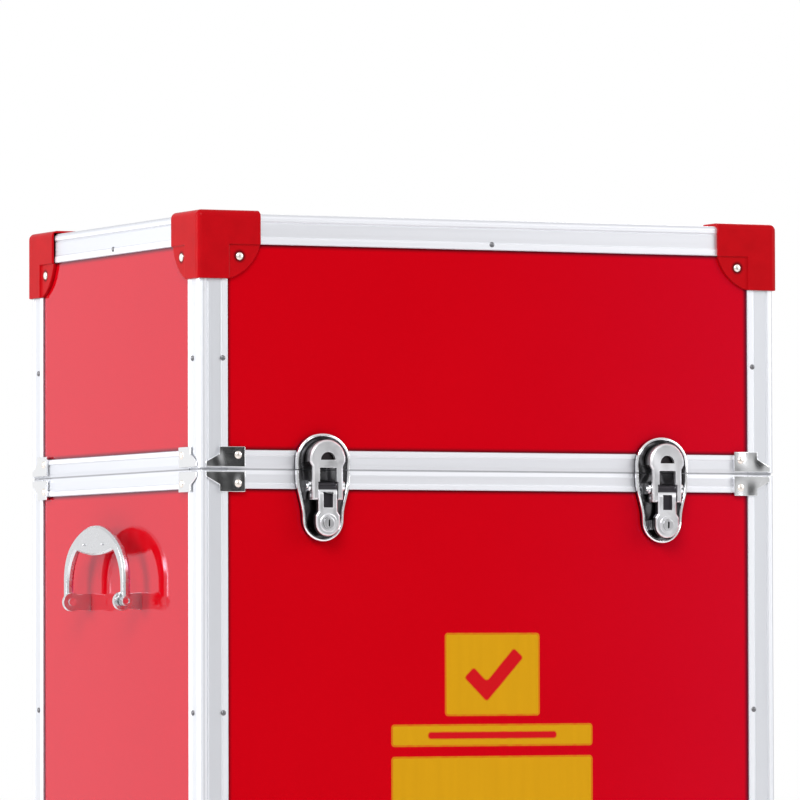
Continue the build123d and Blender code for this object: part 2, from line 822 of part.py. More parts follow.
# Brackets inside the legs: an arm from the board to a round ear, dished on the leg's side. Each is held
# by a screw from inside the case. Seen from the front, local x points out of the board.
ear_outside = leg_inside - handle_side_clearance
ear_inside = ear_outside - bracket_ear_thickness
bracket_middle = (ear_inside + ear_outside) / 2
with BuildPart() as handle_brackets:
    ear_plane = Plane(origin=(board_x, case_y - ear_inside, handle_z), x_dir=(-1, 0, 0), z_dir=(0, -1, 0))
    with BuildSketch(ear_plane):
        with BuildLine():
            Polyline(
                (0, -bracket_foot_half_height),
                (handle_standoff, -bracket_arm_half_height),
                (handle_standoff, bracket_arm_half_height),
                (0, bracket_foot_half_height),
                close=True,
            )
        make_face()
        with Locations((handle_standoff, 0)):
            Circle(bracket_ear_radius)
            Circle(handle_pin_radius + pin_clearance, mode=Mode.SUBTRACT)
    extrude(amount=bracket_ear_thickness)
    with BuildSketch(ear_plane.offset(bracket_ear_thickness - bracket_dish_depth)):
        with Locations((handle_standoff, 0)):
            Circle(bracket_dish_radius)
    extrude(amount=bracket_dish_depth + overrun, mode=Mode.SUBTRACT)
    mirror(about=front_back)
    mirror(about=left_right)
save(handle_brackets.part, "handle_brackets")

# A headed pin goes through each ear into the leg's eye, and ends a little inside it
with BuildPart() as handle_pins:
    pin_plane = Plane(origin=(board_x - handle_standoff, case_y, handle_z), x_dir=(-1, 0, 0), z_dir=(0, -1, 0))
    with BuildSketch(pin_plane.offset(ear_inside)):
        Circle(handle_pin_radius)
    extrude(amount=handle_half_width - handle_pin_sink - ear_inside)
    with BuildSketch(pin_plane.offset(ear_inside)):
        Circle(handle_pin_head_radius)
    extrude(amount=-handle_pin_head_height)
    mirror(about=front_back)
    mirror(about=left_right)
save(handle_pins.part, "handle_pins")

# Back hinges. Local x points out of the back and local y away from the seam; the middle knuckle is
# the lid's and the outer two are the body's.
knuckle_width = (hinge_width - 2 * hinge_knuckle_clearance) / 3
knuckle_pitch = knuckle_width + hinge_knuckle_clearance
notch_height = hinge_knuckle_radius + hinge_notch_clearance


def hinge_leaf(upwards, own_places, other_places):
    """Up over the rim, a joggle in to the board, and knuckles at the seam."""
    leaf_plane = Plane(origin=(-hinge_offset, y_back, z_seam), x_dir=(0, 1, 0), z_dir=(upwards, 0, 0))
    with BuildPart() as leaf:
        with BuildSketch(leaf_plane):
            with BuildLine():
                Polyline(
                    (0, hinge_seam_gap),
                    (0, panel_seat),
                    (board_face, panel_seat + hinge_joggle_height),
                    (board_face, hinge_leaf_height),
                    (board_face + hinge_thickness, hinge_leaf_height),
                    (board_face + hinge_thickness, panel_seat + hinge_joggle_height),
                    (hinge_thickness, panel_seat),
                    (hinge_thickness, hinge_seam_gap),
                    close=True,
                )
            make_face()
        extrude(amount=hinge_width / 2, both=True)
        for place in other_places:
            with BuildSketch(leaf_plane.offset(upwards * place)):
                with Locations((0, notch_height)):
                    Rectangle(hinge_thickness + overrun, 2 * notch_height, align=(Align.CENTER, Align.MAX))
            extrude(amount=knuckle_width / 2 + hinge_knuckle_clearance, both=True, mode=Mode.SUBTRACT)
        for place in own_places:
            with BuildSketch(leaf_plane.offset(upwards * place)):
                with Locations((hinge_axis_out, 0)):
                    Circle(hinge_knuckle_radius)
            extrude(amount=knuckle_width / 2, both=True)
        with BuildSketch(leaf_plane):
            with Locations((hinge_axis_out, 0)):
                Circle(hinge_pin_radius + pin_clearance)
        extrude(amount=hinge_width, both=True, mode=Mode.SUBTRACT)
        mirror(about=left_right)
    return leaf.part


outer_knuckles = (-knuckle_pitch, knuckle_pitch)
save(hinge_leaf(-1, outer_knuckles, (0,)), "hinge_body_leaves")
save(hinge_leaf(1, (0,), outer_knuckles), "hinge_lid_leaves")

with BuildPart() as hinge_pins:
    hinge_plane = Plane(origin=(-hinge_offset, y_back + hinge_axis_out, z_seam), x_dir=(0, 1, 0),
                        z_dir=(1, 0, 0))
    with BuildSketch(hinge_plane):
        Circle(hinge_pin_radius)
    extrude(amount=hinge_width / 2, both=True)
    with BuildSketch(hinge_plane.offset(-hinge_width / 2)):
        Circle(hinge_pin_head_radius)
    extrude(amount=-hinge_pin_head_height)
    mirror(about=left_right)
save(hinge_pins.part, "hinge_pins")


# Rivet and screw heads: low, with sloping sides and a flat crown, each standing on what it holds
def corner_rivets(z_corner, into):
    """The heads of one front left corner, three on the cap and two on the brace: plane, radius and height."""
    left_face = {"x_dir": (0, 1, 0), "z_dir": (-1, 0, 0)}
    front_face = {"x_dir": (1, 0, 0), "z_dir": (0, -1, 0)}
    cap_x, cap_y, cap_z = x_left + cap_rivet_place, y_front + cap_rivet_place, z_corner + into * cap_rivet_place
    brace_z = z_seam - into * brace_rivet_rise
    cap_planes = [
        Plane(origin=(cap_x, y_front - cap_tab_rise, cap_z), **front_face),
        Plane(origin=(x_left - cap_tab_rise, cap_y, cap_z), **left_face),
        Plane(origin=(cap_x, cap_y, z_corner - into * cap_tab_rise), x_dir=(1, 0, 0), z_dir=(0, 0, -into)),
    ]
    brace_planes = [
        Plane(origin=(x_left + brace_rivet_place, y_front - brace_thickness, brace_z), **front_face),
        Plane(origin=(x_left - brace_thickness, y_front + brace_rivet_place, brace_z), **left_face),
    ]
    return [(plane, cap_rivet_radius, cap_rivet_height) for plane in cap_planes] + [
        (plane, brace_rivet_radius, brace_rivet_height) for plane in brace_planes
    ]


def hinge_rivets(upwards):
    leaf_face = y_back + board_face + hinge_thickness
    spread = hinge_width / 2 - hinge_rivet_inset
    return [
        (Plane(origin=(-hinge_offset + across, leaf_face, z_seam + upwards * hinge_rivet_drop),
               x_dir=(-1, 0, 0), z_dir=(0, 1, 0)), hinge_rivet_radius, hinge_rivet_height)
        for across in (-spread, 0, spread)
    ]


bracket_screws = [
    (Plane(origin=(x_left + board_inside, case_y + across, handle_z), x_dir=(0, 1, 0), z_dir=(1, 0, 0)),
     bracket_screw_radius, bracket_screw_height)
    for across in (-bracket_middle, bracket_middle)
]
slot_screw_place = slot_plate_width / 2 - slot_screw_inset
slot_screws = [
    (Plane(origin=(slot_screw_inset - slot_plate_length / 2, case_y + across,
                   z_top - edging_wall + slot_plate_thickness)), slot_screw_radius, slot_screw_height)
    for across in (-slot_screw_place, slot_screw_place)
]
groups = (
    ("body_rivets", corner_rivets(z_bottom, 1), hinge_rivets(-1) + bracket_screws),
    ("lid_rivets", corner_rivets(z_top, -1), hinge_rivets(1) + slot_screws),
)
for name, at_corners, at_sides in groups:
    with BuildPart() as rivets:
        for plane, radius, height in at_corners:
            with BuildSketch(plane):
                RegularPolygon(radius, rivet_sides)
            extrude(amount=height, taper=rivet_taper)
        mirror(about=front_back)
        for plane, radius, height in at_sides:
            with BuildSketch(plane):
                RegularPolygon(radius, rivet_sides)
            extrude(amount=height, taper=rivet_taper)
        mirror(about=left_right)
    save(rivets.part, name)
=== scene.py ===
import math

import bmesh
import bpy
from mathutils import Matrix, Vector


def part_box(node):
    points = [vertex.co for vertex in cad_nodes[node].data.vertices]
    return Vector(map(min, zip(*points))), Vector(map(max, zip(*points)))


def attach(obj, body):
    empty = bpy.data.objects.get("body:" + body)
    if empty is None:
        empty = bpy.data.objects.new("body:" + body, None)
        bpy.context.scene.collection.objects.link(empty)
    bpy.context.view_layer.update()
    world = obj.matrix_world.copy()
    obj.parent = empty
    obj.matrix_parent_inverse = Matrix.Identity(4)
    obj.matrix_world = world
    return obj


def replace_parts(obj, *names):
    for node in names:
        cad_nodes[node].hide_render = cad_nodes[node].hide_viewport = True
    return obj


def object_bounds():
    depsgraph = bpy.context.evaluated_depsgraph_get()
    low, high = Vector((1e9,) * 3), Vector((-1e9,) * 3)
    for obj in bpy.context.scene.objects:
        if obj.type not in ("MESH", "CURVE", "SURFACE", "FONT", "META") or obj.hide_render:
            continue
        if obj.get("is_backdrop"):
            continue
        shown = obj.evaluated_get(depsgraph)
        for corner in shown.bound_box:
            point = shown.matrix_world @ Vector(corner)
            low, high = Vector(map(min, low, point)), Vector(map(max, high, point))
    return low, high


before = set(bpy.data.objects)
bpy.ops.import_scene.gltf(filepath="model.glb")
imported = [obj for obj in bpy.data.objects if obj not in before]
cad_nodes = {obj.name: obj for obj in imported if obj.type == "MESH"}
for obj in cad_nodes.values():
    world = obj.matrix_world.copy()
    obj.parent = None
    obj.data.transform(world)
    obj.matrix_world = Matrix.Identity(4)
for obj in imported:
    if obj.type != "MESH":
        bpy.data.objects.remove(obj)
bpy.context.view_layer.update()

MM = 0.001


# Board panels. Thin plywood faced on both sides with a smooth red laminate, pressed between polished
# plates, so it is glossy and very slightly uneven. Each board is held by the edging round it, where
# rubbed-in dirt and painted shade leave a dark line.
LAMINATE_RED = "#BE0411"
LAMINATE_RED_WORN = "#B8020F"
LAMINATE_EDGE_SHADE_AND_DIRT = "#5E0A12"
LAMINATE_GLOSS = "#FF7CF0"
LAMINATE_ROUGHNESS = 0.05
LAMINATE_IOR = 1.45
PRESS_MARK = 14 * MM
PRESS_MARK_DEPTH = 0.1 * MM
UNEVEN_PATCH = 120 * MM
EDGE_SHADE_AND_DIRT_WIDTH = 3.2 * MM
BOARD_MIDDLE = 4 * MM

case_low = Vector(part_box("body_corner_posts")[0])
case_high = Vector(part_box("lid_corner_posts")[1])
case_middle = (case_low + case_high) / 2
case_half = (case_high - case_low) / 2
rail_low, rail_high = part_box("lid_front_rail")
rim_low, rim_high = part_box("lid_front_rim")
edging_leg = rail_high[2] - rail_low[2]
rim_height = rim_high[2] - rim_low[2]
seam_z = rim_low[2]
board_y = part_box("body_front_panel")[0][1]


def linear(hex_colour):
    """An sRGB hex colour as linear RGBA."""
    channels = [int(hex_colour[i:i + 2], 16) / 255 for i in (1, 3, 5)]
    return [c / 12.92 if c <= 0.04045 else ((c + 0.055) / 1.055) ** 2.4 for c in channels] + [1.0]


def add_node(material, kind, links=None, **settings):
    """A node of a material, with its settings, and its inputs linked or set."""
    node = material.node_tree.nodes.new(kind)
    for name, value in settings.items():
        setattr(node, name, value)
    for name, source in (links or {}).items():
        if isinstance(source, bpy.types.NodeSocket):
            material.node_tree.links.new(source, node.inputs[name])
        else:
            node.inputs[name].default_value = source
    return node


def new_material(name, **sockets):
    """A material with its shader linked to the output and the shader's sockets set. Returns both."""
    material = bpy.data.materials.new(name)
    material.use_nodes = True
    material.node_tree.nodes.clear()
    shader = add_node(material, "ShaderNodeBsdfPrincipled")
    add_node(material, "ShaderNodeOutputMaterial", {"Surface": shader.outputs["BSDF"]})
    for socket, value in sockets.items():
        shader.inputs[socket.replace("_", " ")].default_value = value
    return material, shader


def add_bump(material, shader, height, strength, depth):
    """Relief of this depth on the shader's surface."""
    bump = add_node(material, "ShaderNodeBump", {"Height": height, "Strength": strength, "Distance": depth})
    material.node_tree.links.new(bump.outputs["Normal"], shader.inputs["Normal"])


def give(material, *names):
    """The named CAD nodes get this material all over."""
    for name in names:
        mesh = cad_nodes[name].data
        mesh.materials.clear()
        mesh.materials.append(material)


def inset_and_facing(material, place):
    """How far inside the case's faces a point lies along each axis, and which axis its surface faces."""
    offset = add_node(material, "ShaderNodeVectorMath", {0: place, 1: case_middle}, operation="SUBTRACT")
    distance = add_node(material, "ShaderNodeVectorMath", {0: offset.outputs["Vector"]}, operation="ABSOLUTE")
    inset = add_node(material, "ShaderNodeVectorMath", {0: case_half, 1: distance.outputs["Vector"]},
                     operation="SUBTRACT")
    normal = add_node(material, "ShaderNodeTexCoord").outputs["Normal"]
    facing = add_node(material, "ShaderNodeVectorMath", {0: normal}, operation="ABSOLUTE")
    return inset.outputs["Vector"], facing.outputs["Vector"]


def depth_in_face(material, inset, facing):
    """How deep a point lies behind the face of the case that its surface belongs to."""
    depth = add_node(material, "ShaderNodeVectorMath", {0: inset, 1: facing}, operation="DOT_PRODUCT")
    return depth.outputs["Value"]


def height_off_seam(material, place):
    """How far a point lies above or below the seam."""
    axes = add_node(material, "ShaderNodeSeparateXYZ", {"Vector": place})
    above = add_node(material, "ShaderNodeMath", {0: axes.outputs["Z"], 1: seam_z}, operation="SUBTRACT")
    off = add_node(material, "ShaderNodeMath", {0: above.outputs["Value"]}, operation="ABSOLUTE")
    return off.outputs["Value"]


def red_laminate():
    """Mirrors what is near it, and its tinted gloss turns pale reflections pink."""
    material, shader = new_material("red_laminate", Roughness=LAMINATE_ROUGHNESS, IOR=LAMINATE_IOR,
                                    Specular_Tint=linear(LAMINATE_GLOSS))
    place = add_node(material, "ShaderNodeTexCoord").outputs["Object"]
    patches = add_node(material, "ShaderNodeTexNoise", {
        "Vector": place, "Scale": 1 / UNEVEN_PATCH, "Detail": 2.0})
    colour = add_node(material, "ShaderNodeMix", {
        "Factor": patches.outputs["Fac"], 6: linear(LAMINATE_RED), 7: linear(LAMINATE_RED_WORN)},
        data_type="RGBA")
    # Distance from the edging: from the legs at the case's edges, and from the rims at the seam
    inset, facing = inset_and_facing(material, place)
    beside = add_node(material, "ShaderNodeVectorMath", {0: inset, 1: facing}, operation="ADD")
    sides = add_node(material, "ShaderNodeSeparateXYZ", {"Vector": beside.outputs["Vector"]})
    nearer = add_node(material, "ShaderNodeMath", {0: sides.outputs["X"], 1: sides.outputs["Y"]},
                      operation="MINIMUM")
    nearest = add_node(material, "ShaderNodeMath", {0: nearer.outputs["Value"], 1: sides.outputs["Z"]},
                       operation="MINIMUM")
    from_leg = add_node(material, "ShaderNodeMath", {0: nearest.outputs["Value"], 1: edging_leg},
                        operation="SUBTRACT")
    from_rim = add_node(material, "ShaderNodeMath", {0: height_off_seam(material, place), 1: rim_height},
                        operation="SUBTRACT")
    from_edging = add_node(material, "ShaderNodeMath", {
        0: from_leg.outputs["Value"], 1: from_rim.outputs["Value"]}, operation="MINIMUM")
    clear_of_dirt_and_shade = add_node(material, "ShaderNodeMapRange", {
        "Value": from_edging.outputs["Value"], "From Min": 0.0, "From Max": EDGE_SHADE_AND_DIRT_WIDTH},
        interpolation_type="SMOOTHSTEP")
    # Only the outer faces get the dirt and painted shade, not the faces inside the case
    inside = add_node(material, "ShaderNodeMath", {
        0: depth_in_face(material, inset, facing), 1: BOARD_MIDDLE}, operation="GREATER_THAN")
    clear_or_inside = add_node(material, "ShaderNodeMath", {0: clear_of_dirt_and_shade.outputs["Result"], 1: inside.outputs["Value"]},
                        operation="MAXIMUM")
    # The dark line beside the edging is painted shade as well as dirt
    dirt_and_shade_mix = add_node(material, "ShaderNodeMix", {
        "Factor": clear_or_inside.outputs["Value"], 6: linear(LAMINATE_EDGE_SHADE_AND_DIRT), 7: colour.outputs[2]},
        data_type="RGBA")
    material.node_tree.links.new(dirt_and_shade_mix.outputs[2], shader.inputs["Base Color"])
    # Press marks bend the reflections a little
    dimples = add_node(material, "ShaderNodeTexNoise", {
        "Vector": place, "Scale": 1 / PRESS_MARK, "Detail": 1.0})
    add_bump(material, shader, dimples.outputs["Fac"], 0.05, PRESS_MARK_DEPTH)
    return material


give(red_laminate(), "bottom_panel", "lid_top_panel",
     *(f"{owner}_{face}_panel" for owner in ("body", "lid") for face in ("front", "back", "left", "right")))


# Edging. Extruded aluminium angle, bead blasted and clear anodised, so it is matt and pale grey, with
# fine die lines along its length. The lips at its edges stand proud of the sunk bands, are rubbed bright
# and are painted lighter still as a painted highlight, while the sunk bands and the seam get painted
# shade. Posts stand at the corners, rails run between them, and the rims meet at the seam.
# The band colours are lighter and darker copies of one aluminium by which way the piece runs: painted light
# and shade
UPRIGHT_BAND_SHADED = "#D9DBE0"
CROSSWISE_BAND_LIT = "#E4E5EA"
LENGTHWISE_BAND_SHADED = "#DADCE2"
ALUMINIUM_LIP_RUBBED_AND_LIT = "#EFF0F5"
ALUMINIUM_ROUGHNESS = (0.42, 0.56)
POST_SEAM_SHADE = "#3A3638"
RIM_SEAM_SHADE = "#B9BABF"
SEAM_SHADE_REACH = (0.45 * MM, 0.75 * MM)
DIE_LINE = 0.7 * MM
DIE_LINE_LENGTH = 200 * MM
DIE_LINE_DEPTH = 0.05 * MM
LIP_DEPTH = 0.12 * MM
BAND_DEPTH = 0.36 * MM
EDGING_EDGE = 0.22 * MM
WELD_REACH = 0.001 * MM
FLAT_ANGLE = math.radians(1)
EDGE_ANGLE = math.radians(30)


def anodised_aluminium(name, along, band, seam):
    """Satin, with its streaks along one axis, a painted highlight on its lips, and painted shade in the bands
    below them and at the seam.
    """
    material, shader = new_material(name, Metallic=1.0)
    place = add_node(material, "ShaderNodeTexCoord").outputs["Object"]
    # Die lines, drawn far coarser than the real ones so that they show in the render
    scale = [1 / DIE_LINE] * 3
    scale[along] = 1 / DIE_LINE_LENGTH
    stretched = add_node(material, "ShaderNodeMapping", {"Vector": place, "Scale": scale})
    lines = add_node(material, "ShaderNodeTexNoise", {
        "Vector": stretched.outputs["Vector"], "Scale": 1.0, "Detail": 2.0})
    rough = add_node(material, "ShaderNodeMapRange", {
        "Value": lines.outputs["Fac"], "To Min": ALUMINIUM_ROUGHNESS[0], "To Max": ALUMINIUM_ROUGHNESS[1]})
    material.node_tree.links.new(rough.outputs["Result"], shader.inputs["Roughness"])
    add_bump(material, shader, lines.outputs["Fac"], 0.12, DIE_LINE_DEPTH)
    inset, facing = inset_and_facing(material, place)
    # Lips rubbed bright and painted lighter as a highlight; the bands below them get painted shade
    sunk = add_node(material, "ShaderNodeMapRange", {
        "Value": depth_in_face(material, inset, facing), "From Min": LIP_DEPTH, "From Max": BAND_DEPTH},
        interpolation_type="SMOOTHSTEP")
    colour = add_node(material, "ShaderNodeMix", {
        "Factor": sunk.outputs["Result"], 6: linear(ALUMINIUM_LIP_RUBBED_AND_LIT), 7: linear(band)}, data_type="RGBA")
    # Painted shade in the gap at the seam: very dark on the posts' ends, faint on the rims
    clear_of_dirt_and_shade = add_node(material, "ShaderNodeMapRange", {
        "Value": height_off_seam(material, place),
        "From Min": SEAM_SHADE_REACH[0], "From Max": SEAM_SHADE_REACH[1]})
    dirt_and_shade_mix = add_node(material, "ShaderNodeMix", {
        "Factor": clear_of_dirt_and_shade.outputs["Result"], 6: linear(seam), 7: colour.outputs[2]}, data_type="RGBA")
    material.node_tree.links.new(dirt_and_shade_mix.outputs[2], shader.inputs["Base Color"])
    return material


def keep_flat(piece):
    """Keeps broad faces flat in the light between their rounded edges."""
    normal = piece.modifiers.new("normal", "WEIGHTED_NORMAL")
    normal.keep_sharp = True


def ease_edges(name, radius, segments=2):
    """Rounds a CAD node's sharp edges with modifiers, which leave its mesh as it is."""
    piece = cad_nodes[name]
    weld = piece.modifiers.new("weld", "WELD")
    weld.merge_threshold = WELD_REACH
    flat = piece.modifiers.new("flat", "DECIMATE")
    flat.decimate_type = "DISSOLVE"
    flat.angle_limit = FLAT_ANGLE
    bevel = piece.modifiers.new("bevel", "BEVEL")
    bevel.width = radius
    bevel.segments = segments
    bevel.limit_method = "ANGLE"
    bevel.angle_limit = EDGE_ANGLE
    keep_flat(piece)


edging = {
    "upright": (2, UPRIGHT_BAND_SHADED, POST_SEAM_SHADE, ["body_corner_posts", "lid_corner_posts"]),
    "crosswise": (0, CROSSWISE_BAND_LIT, RIM_SEAM_SHADE, [
        "bottom_rails", "lid_front_rail", "lid_back_rail",
        "body_front_rim", "body_back_rim", "lid_front_rim", "lid_back_rim"]),
    "lengthwise": (1, LENGTHWISE_BAND_SHADED, RIM_SEAM_SHADE, [
        "lid_left_rail", "lid_right_rail",
        "body_left_rim", "body_right_rim", "lid_left_rim", "lid_right_rim"]),
}
for direction, (along, band, seam, names) in edging.items():
    give(anodised_aluminium("anodised_aluminium_" + direction, along, band, seam), *names)
    for name in names:
        ease_edges(name, EDGING_EDGE)


# Nails. Small domed steel nails hold the edging to the boards, one at the middle of each rail and lid
# post, and one every 150 mm down the body posts. Their heads are dull and darker than the edging.
NAIL_STEEL = "#77777A"
NAIL_HEAD = (1.7 * MM, 0.8 * MM)
NAIL_HEAD_SHARES = [(0, 1), (0.5, 0.85), (0.85, 0.45), (1, 0)]
HEAD_SINK = 0.3 * MM
HEAD_STEPS = 20
NAIL_INSET = 15.5 * MM
NAIL_SIDE_INSET = 12 * MM
NAIL_PITCH = 150 * MM
BODY_NAIL_ROWS = 3
LID_NAIL_RISE = 68.5 * MM
CLOUD_SHARES = (0.7, 1.3)
DENT_WIDTH = 13 * MM
SUNK_SHADE = "#3E3C40"
SMOOTH_ANGLE = math.radians(40)


def plated_metal(name, colour, roughness, grain, dent=0.0, sunk=None):
    """Plated or bare metal with a cloudy sheen, its patches as wide as the grain.

    Dents of this depth bend what it mirrors. Where sunk gives two distances out of the case's front, the
    surface is darkened with painted shade up to the first one and keeps its own colour from the second."""
    material, shader = new_material(name, Metallic=1.0)
    shader.inputs["Base Color"].default_value = linear(colour)
    place = add_node(material, "ShaderNodeTexCoord").outputs["Object"]
    clouds = add_node(material, "ShaderNodeTexNoise", {"Vector": place, "Scale": 1 / grain, "Detail": 3.0})
    rough = add_node(material, "ShaderNodeMapRange", {
        "Value": clouds.outputs["Fac"],
        "To Min": CLOUD_SHARES[0] * roughness, "To Max": CLOUD_SHARES[1] * roughness})
    material.node_tree.links.new(rough.outputs["Result"], shader.inputs["Roughness"])
    if dent:
        dents = add_node(material, "ShaderNodeTexNoise", {
            "Vector": place, "Scale": 1 / DENT_WIDTH, "Detail": 0.0})
        add_bump(material, shader, dents.outputs["Fac"], 1.0, dent)
    if sunk:
        # Painted shade in the places that lie close to the case's front
        axes = add_node(material, "ShaderNodeSeparateXYZ", {"Vector": place})
        out = add_node(material, "ShaderNodeMath", {0: case_low.y, 1: axes.outputs["Y"]},
                       operation="SUBTRACT")
        flush = add_node(material, "ShaderNodeMapRange", {
            "Value": out.outputs["Value"], "From Min": sunk[0], "From Max": sunk[1]})
        shade = add_node(material, "ShaderNodeMix", {
            "Factor": flush.outputs["Result"], 6: linear(SUNK_SHADE), 7: linear(colour)}, data_type="RGBA")
        material.node_tree.links.new(shade.outputs[2], shader.inputs["Base Color"])
    return material


def add_head(shape, centre, outwards, size, dome_shares):
    """A nail's, rivet's or screw's head, of this radius and rise, whose dome is spun about its axis."""
    radius, rise = size
    outwards = Vector(outwards)
    sideways = outwards.orthogonal().normalized()
    profile = [(radius * across, rise * up) for across, up in dome_shares]
    profile += [(radius, -HEAD_SINK), (0, -HEAD_SINK)]
    points = [shape.verts.new(Vector(centre) + sideways * across + outwards * up) for across, up in profile]
    lines = [shape.edges.new(pair) for pair in zip(points, points[1:])]
    bmesh.ops.spin(shape, geom=points + lines, cent=centre, axis=outwards, angle=2 * math.pi,
                   steps=HEAD_STEPS, use_merge=True)


def move_extruded(shape, extruded, along):
    """Carries what an extrusion made along a vector."""
    bmesh.ops.translate(shape, vec=along, verts=[v for v in extruded if isinstance(v, bmesh.types.BMVert)])


def prism(shape, outline, along):
    """A closed block: a face with this outline, carried along a vector. Returns the face at its far end."""
    face = shape.faces.new([shape.verts.new(point) for point in outline])
    carried = bmesh.ops.extrude_face_region(shape, geom=[face])["geom"]
    move_extruded(shape, carried, along)
    end, = [f for f in carried if isinstance(f, bmesh.types.BMFace)]
    return end


def finish_piece(name, shape, material, body):
    """A new piece from its finished shape: welded, faced outwards, smooth, and riding on its body."""
    bmesh.ops.remove_doubles(shape, verts=shape.verts, dist=WELD_REACH)
    bmesh.ops.recalc_face_normals(shape, faces=shape.faces)
    mesh = bpy.data.meshes.new(name)
    shape.to_mesh(mesh)
    shape.free()
    mesh.shade_smooth()
    mesh.set_sharp_from_angle(angle=SMOOTH_ANGLE)
    mesh.materials.append(material)
    piece = bpy.data.objects.new(name, mesh)
    bpy.context.scene.collection.objects.link(piece)
    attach(piece, body)
    return piece


def mirrored_faces(x, y, z, outwards):
    """A place and its way outwards, four times: mirrored across the case's middle both ways."""
    for across in (-1, 1):
        for along in (-1, 1):
            yield (Vector((case_middle.x + across * x, case_middle.y + along * y, z)),
                   Vector((across * outwards[0], along * outwards[1], outwards[2])))


def add_nails(shape, heights, rail_z, rail_up):
    """Nails on the two outer legs of each post at these heights, and at the middle of each rail's legs."""
    places = []
    for z in heights:
        places += mirrored_faces(case_half.x - NAIL_INSET, case_half.y, z, (0, 1, 0))
        places += mirrored_faces(case_half.x, case_half.y - NAIL_SIDE_INSET, z, (1, 0, 0))
    x, y = case_middle.x, case_middle.y
    level = rail_z - rail_up * NAIL_INSET
    for turn in (-1, 1):
        places += [
            (Vector((x, y + turn * case_half.y, level)), Vector((0, turn, 0))),
            (Vector((x + turn * case_half.x, y, level)), Vector((turn, 0, 0))),
            (Vector((x, y + turn * (case_half.y - NAIL_INSET), rail_z)), Vector((0, 0, rail_up))),
            (Vector((x + turn * (case_half.x - NAIL_INSET), y, rail_z)), Vector((0, 0, rail_up)))]
    for place, outwards in places:
        add_head(shape, place, outwards, NAIL_HEAD, NAIL_HEAD_SHARES)


nail_steel = plated_metal("nail_steel", NAIL_STEEL, roughness=0.4, grain=3 * MM)
body_nails = bmesh.new()
add_nails(body_nails, [seam_z - row * NAIL_PITCH for row in range(1, BODY_NAIL_ROWS + 1)], case_low.z, -1)
finish_piece("body_edging_nails", body_nails, nail_steel, "body")
lid_nails = bmesh.new()
add_nails(lid_nails, [seam_z + LID_NAIL_RISE], case_high.z, 1)
finish_piece("lid_edging_nails", lid_nails, nail_steel, "lid")


# Corner caps. Three-way caps moulded in red ABS, semi-gloss with a faint orange-peel skin, each with a
# sunk tab on its three faces for a rivet.
CAP_RED = "#B60813"
CAP_RED_SCUFFED = "#A2060F"
CAP_GRIME_AND_SHADE = "#4E050B"
CAP_ROUGHNESS = 0.32
CAP_IOR = 1.5
CAP_GLOSS_LEVEL = 0.05
SCUFF = 9 * MM
GRIME_AND_SHADE_REACH = (2.4 * MM, 5 * MM)
CAP_RIVET_PLACE = 26.5 * MM
CAP_EDGE = 0.7 * MM
ORANGE_PEEL = 1.6 * MM
ORANGE_PEEL_DEPTH = 0.1 * MM


def moulded_abs():
    """Softly shiny and a little scuffed, with grime and painted shade round the rivets."""
    material, shader = new_material("red_moulded_abs", Roughness=CAP_ROUGHNESS, IOR=CAP_IOR,
                                    Specular_IOR_Level=CAP_GLOSS_LEVEL)
    place = add_node(material, "ShaderNodeTexCoord").outputs["Object"]
    scuffs = add_node(material, "ShaderNodeTexNoise", {"Vector": place, "Scale": 1 / SCUFF, "Detail": 3.0})
    colour = add_node(material, "ShaderNodeMix", {
        "Factor": scuffs.outputs["Fac"], 6: linear(CAP_RED_SCUFFED), 7: linear(CAP_RED)}, data_type="RGBA")
    # A rivet's middle is as far in from both edges of its face
    inset, facing = inset_and_facing(material, place)
    from_rivet = add_node(material, "ShaderNodeVectorMath", {0: inset, 1: [CAP_RIVET_PLACE] * 3},
                          operation="SUBTRACT")
    in_face = add_node(material, "ShaderNodeVectorMath", {0: (1, 1, 1), 1: facing}, operation="SUBTRACT")
    across = add_node(material, "ShaderNodeVectorMath", {
        0: from_rivet.outputs["Vector"], 1: in_face.outputs["Vector"]}, operation="MULTIPLY")
    away = add_node(material, "ShaderNodeVectorMath", {0: across.outputs["Vector"]}, operation="LENGTH")
    # Grime and painted shade darken the tab round each rivet
    clear_of_dirt_and_shade = add_node(material, "ShaderNodeMapRange", {
        "Value": away.outputs["Value"], "From Min": GRIME_AND_SHADE_REACH[0], "From Max": GRIME_AND_SHADE_REACH[1]},
        interpolation_type="SMOOTHSTEP")
    dirt_and_shade_mix = add_node(material, "ShaderNodeMix", {
        "Factor": clear_of_dirt_and_shade.outputs["Result"], 6: linear(CAP_GRIME_AND_SHADE), 7: colour.outputs[2]}, data_type="RGBA")
    material.node_tree.links.new(dirt_and_shade_mix.outputs[2], shader.inputs["Base Color"])
    grain = add_node(material, "ShaderNodeTexNoise", {
        "Vector": place, "Scale": 1 / ORANGE_PEEL, "Detail": 2.0})
    add_bump(material, shader, grain.outputs["Fac"], 0.15, ORANGE_PEEL_DEPTH)
    return material


caps = [f"{end}_{side}_{level}_cap" for end in ("front", "back") for side in ("left", "right")
        for level in ("top", "bottom")]
give(moulded_abs(), *caps)
for cap in caps:
    ease_edges(cap, CAP_EDGE, 3)


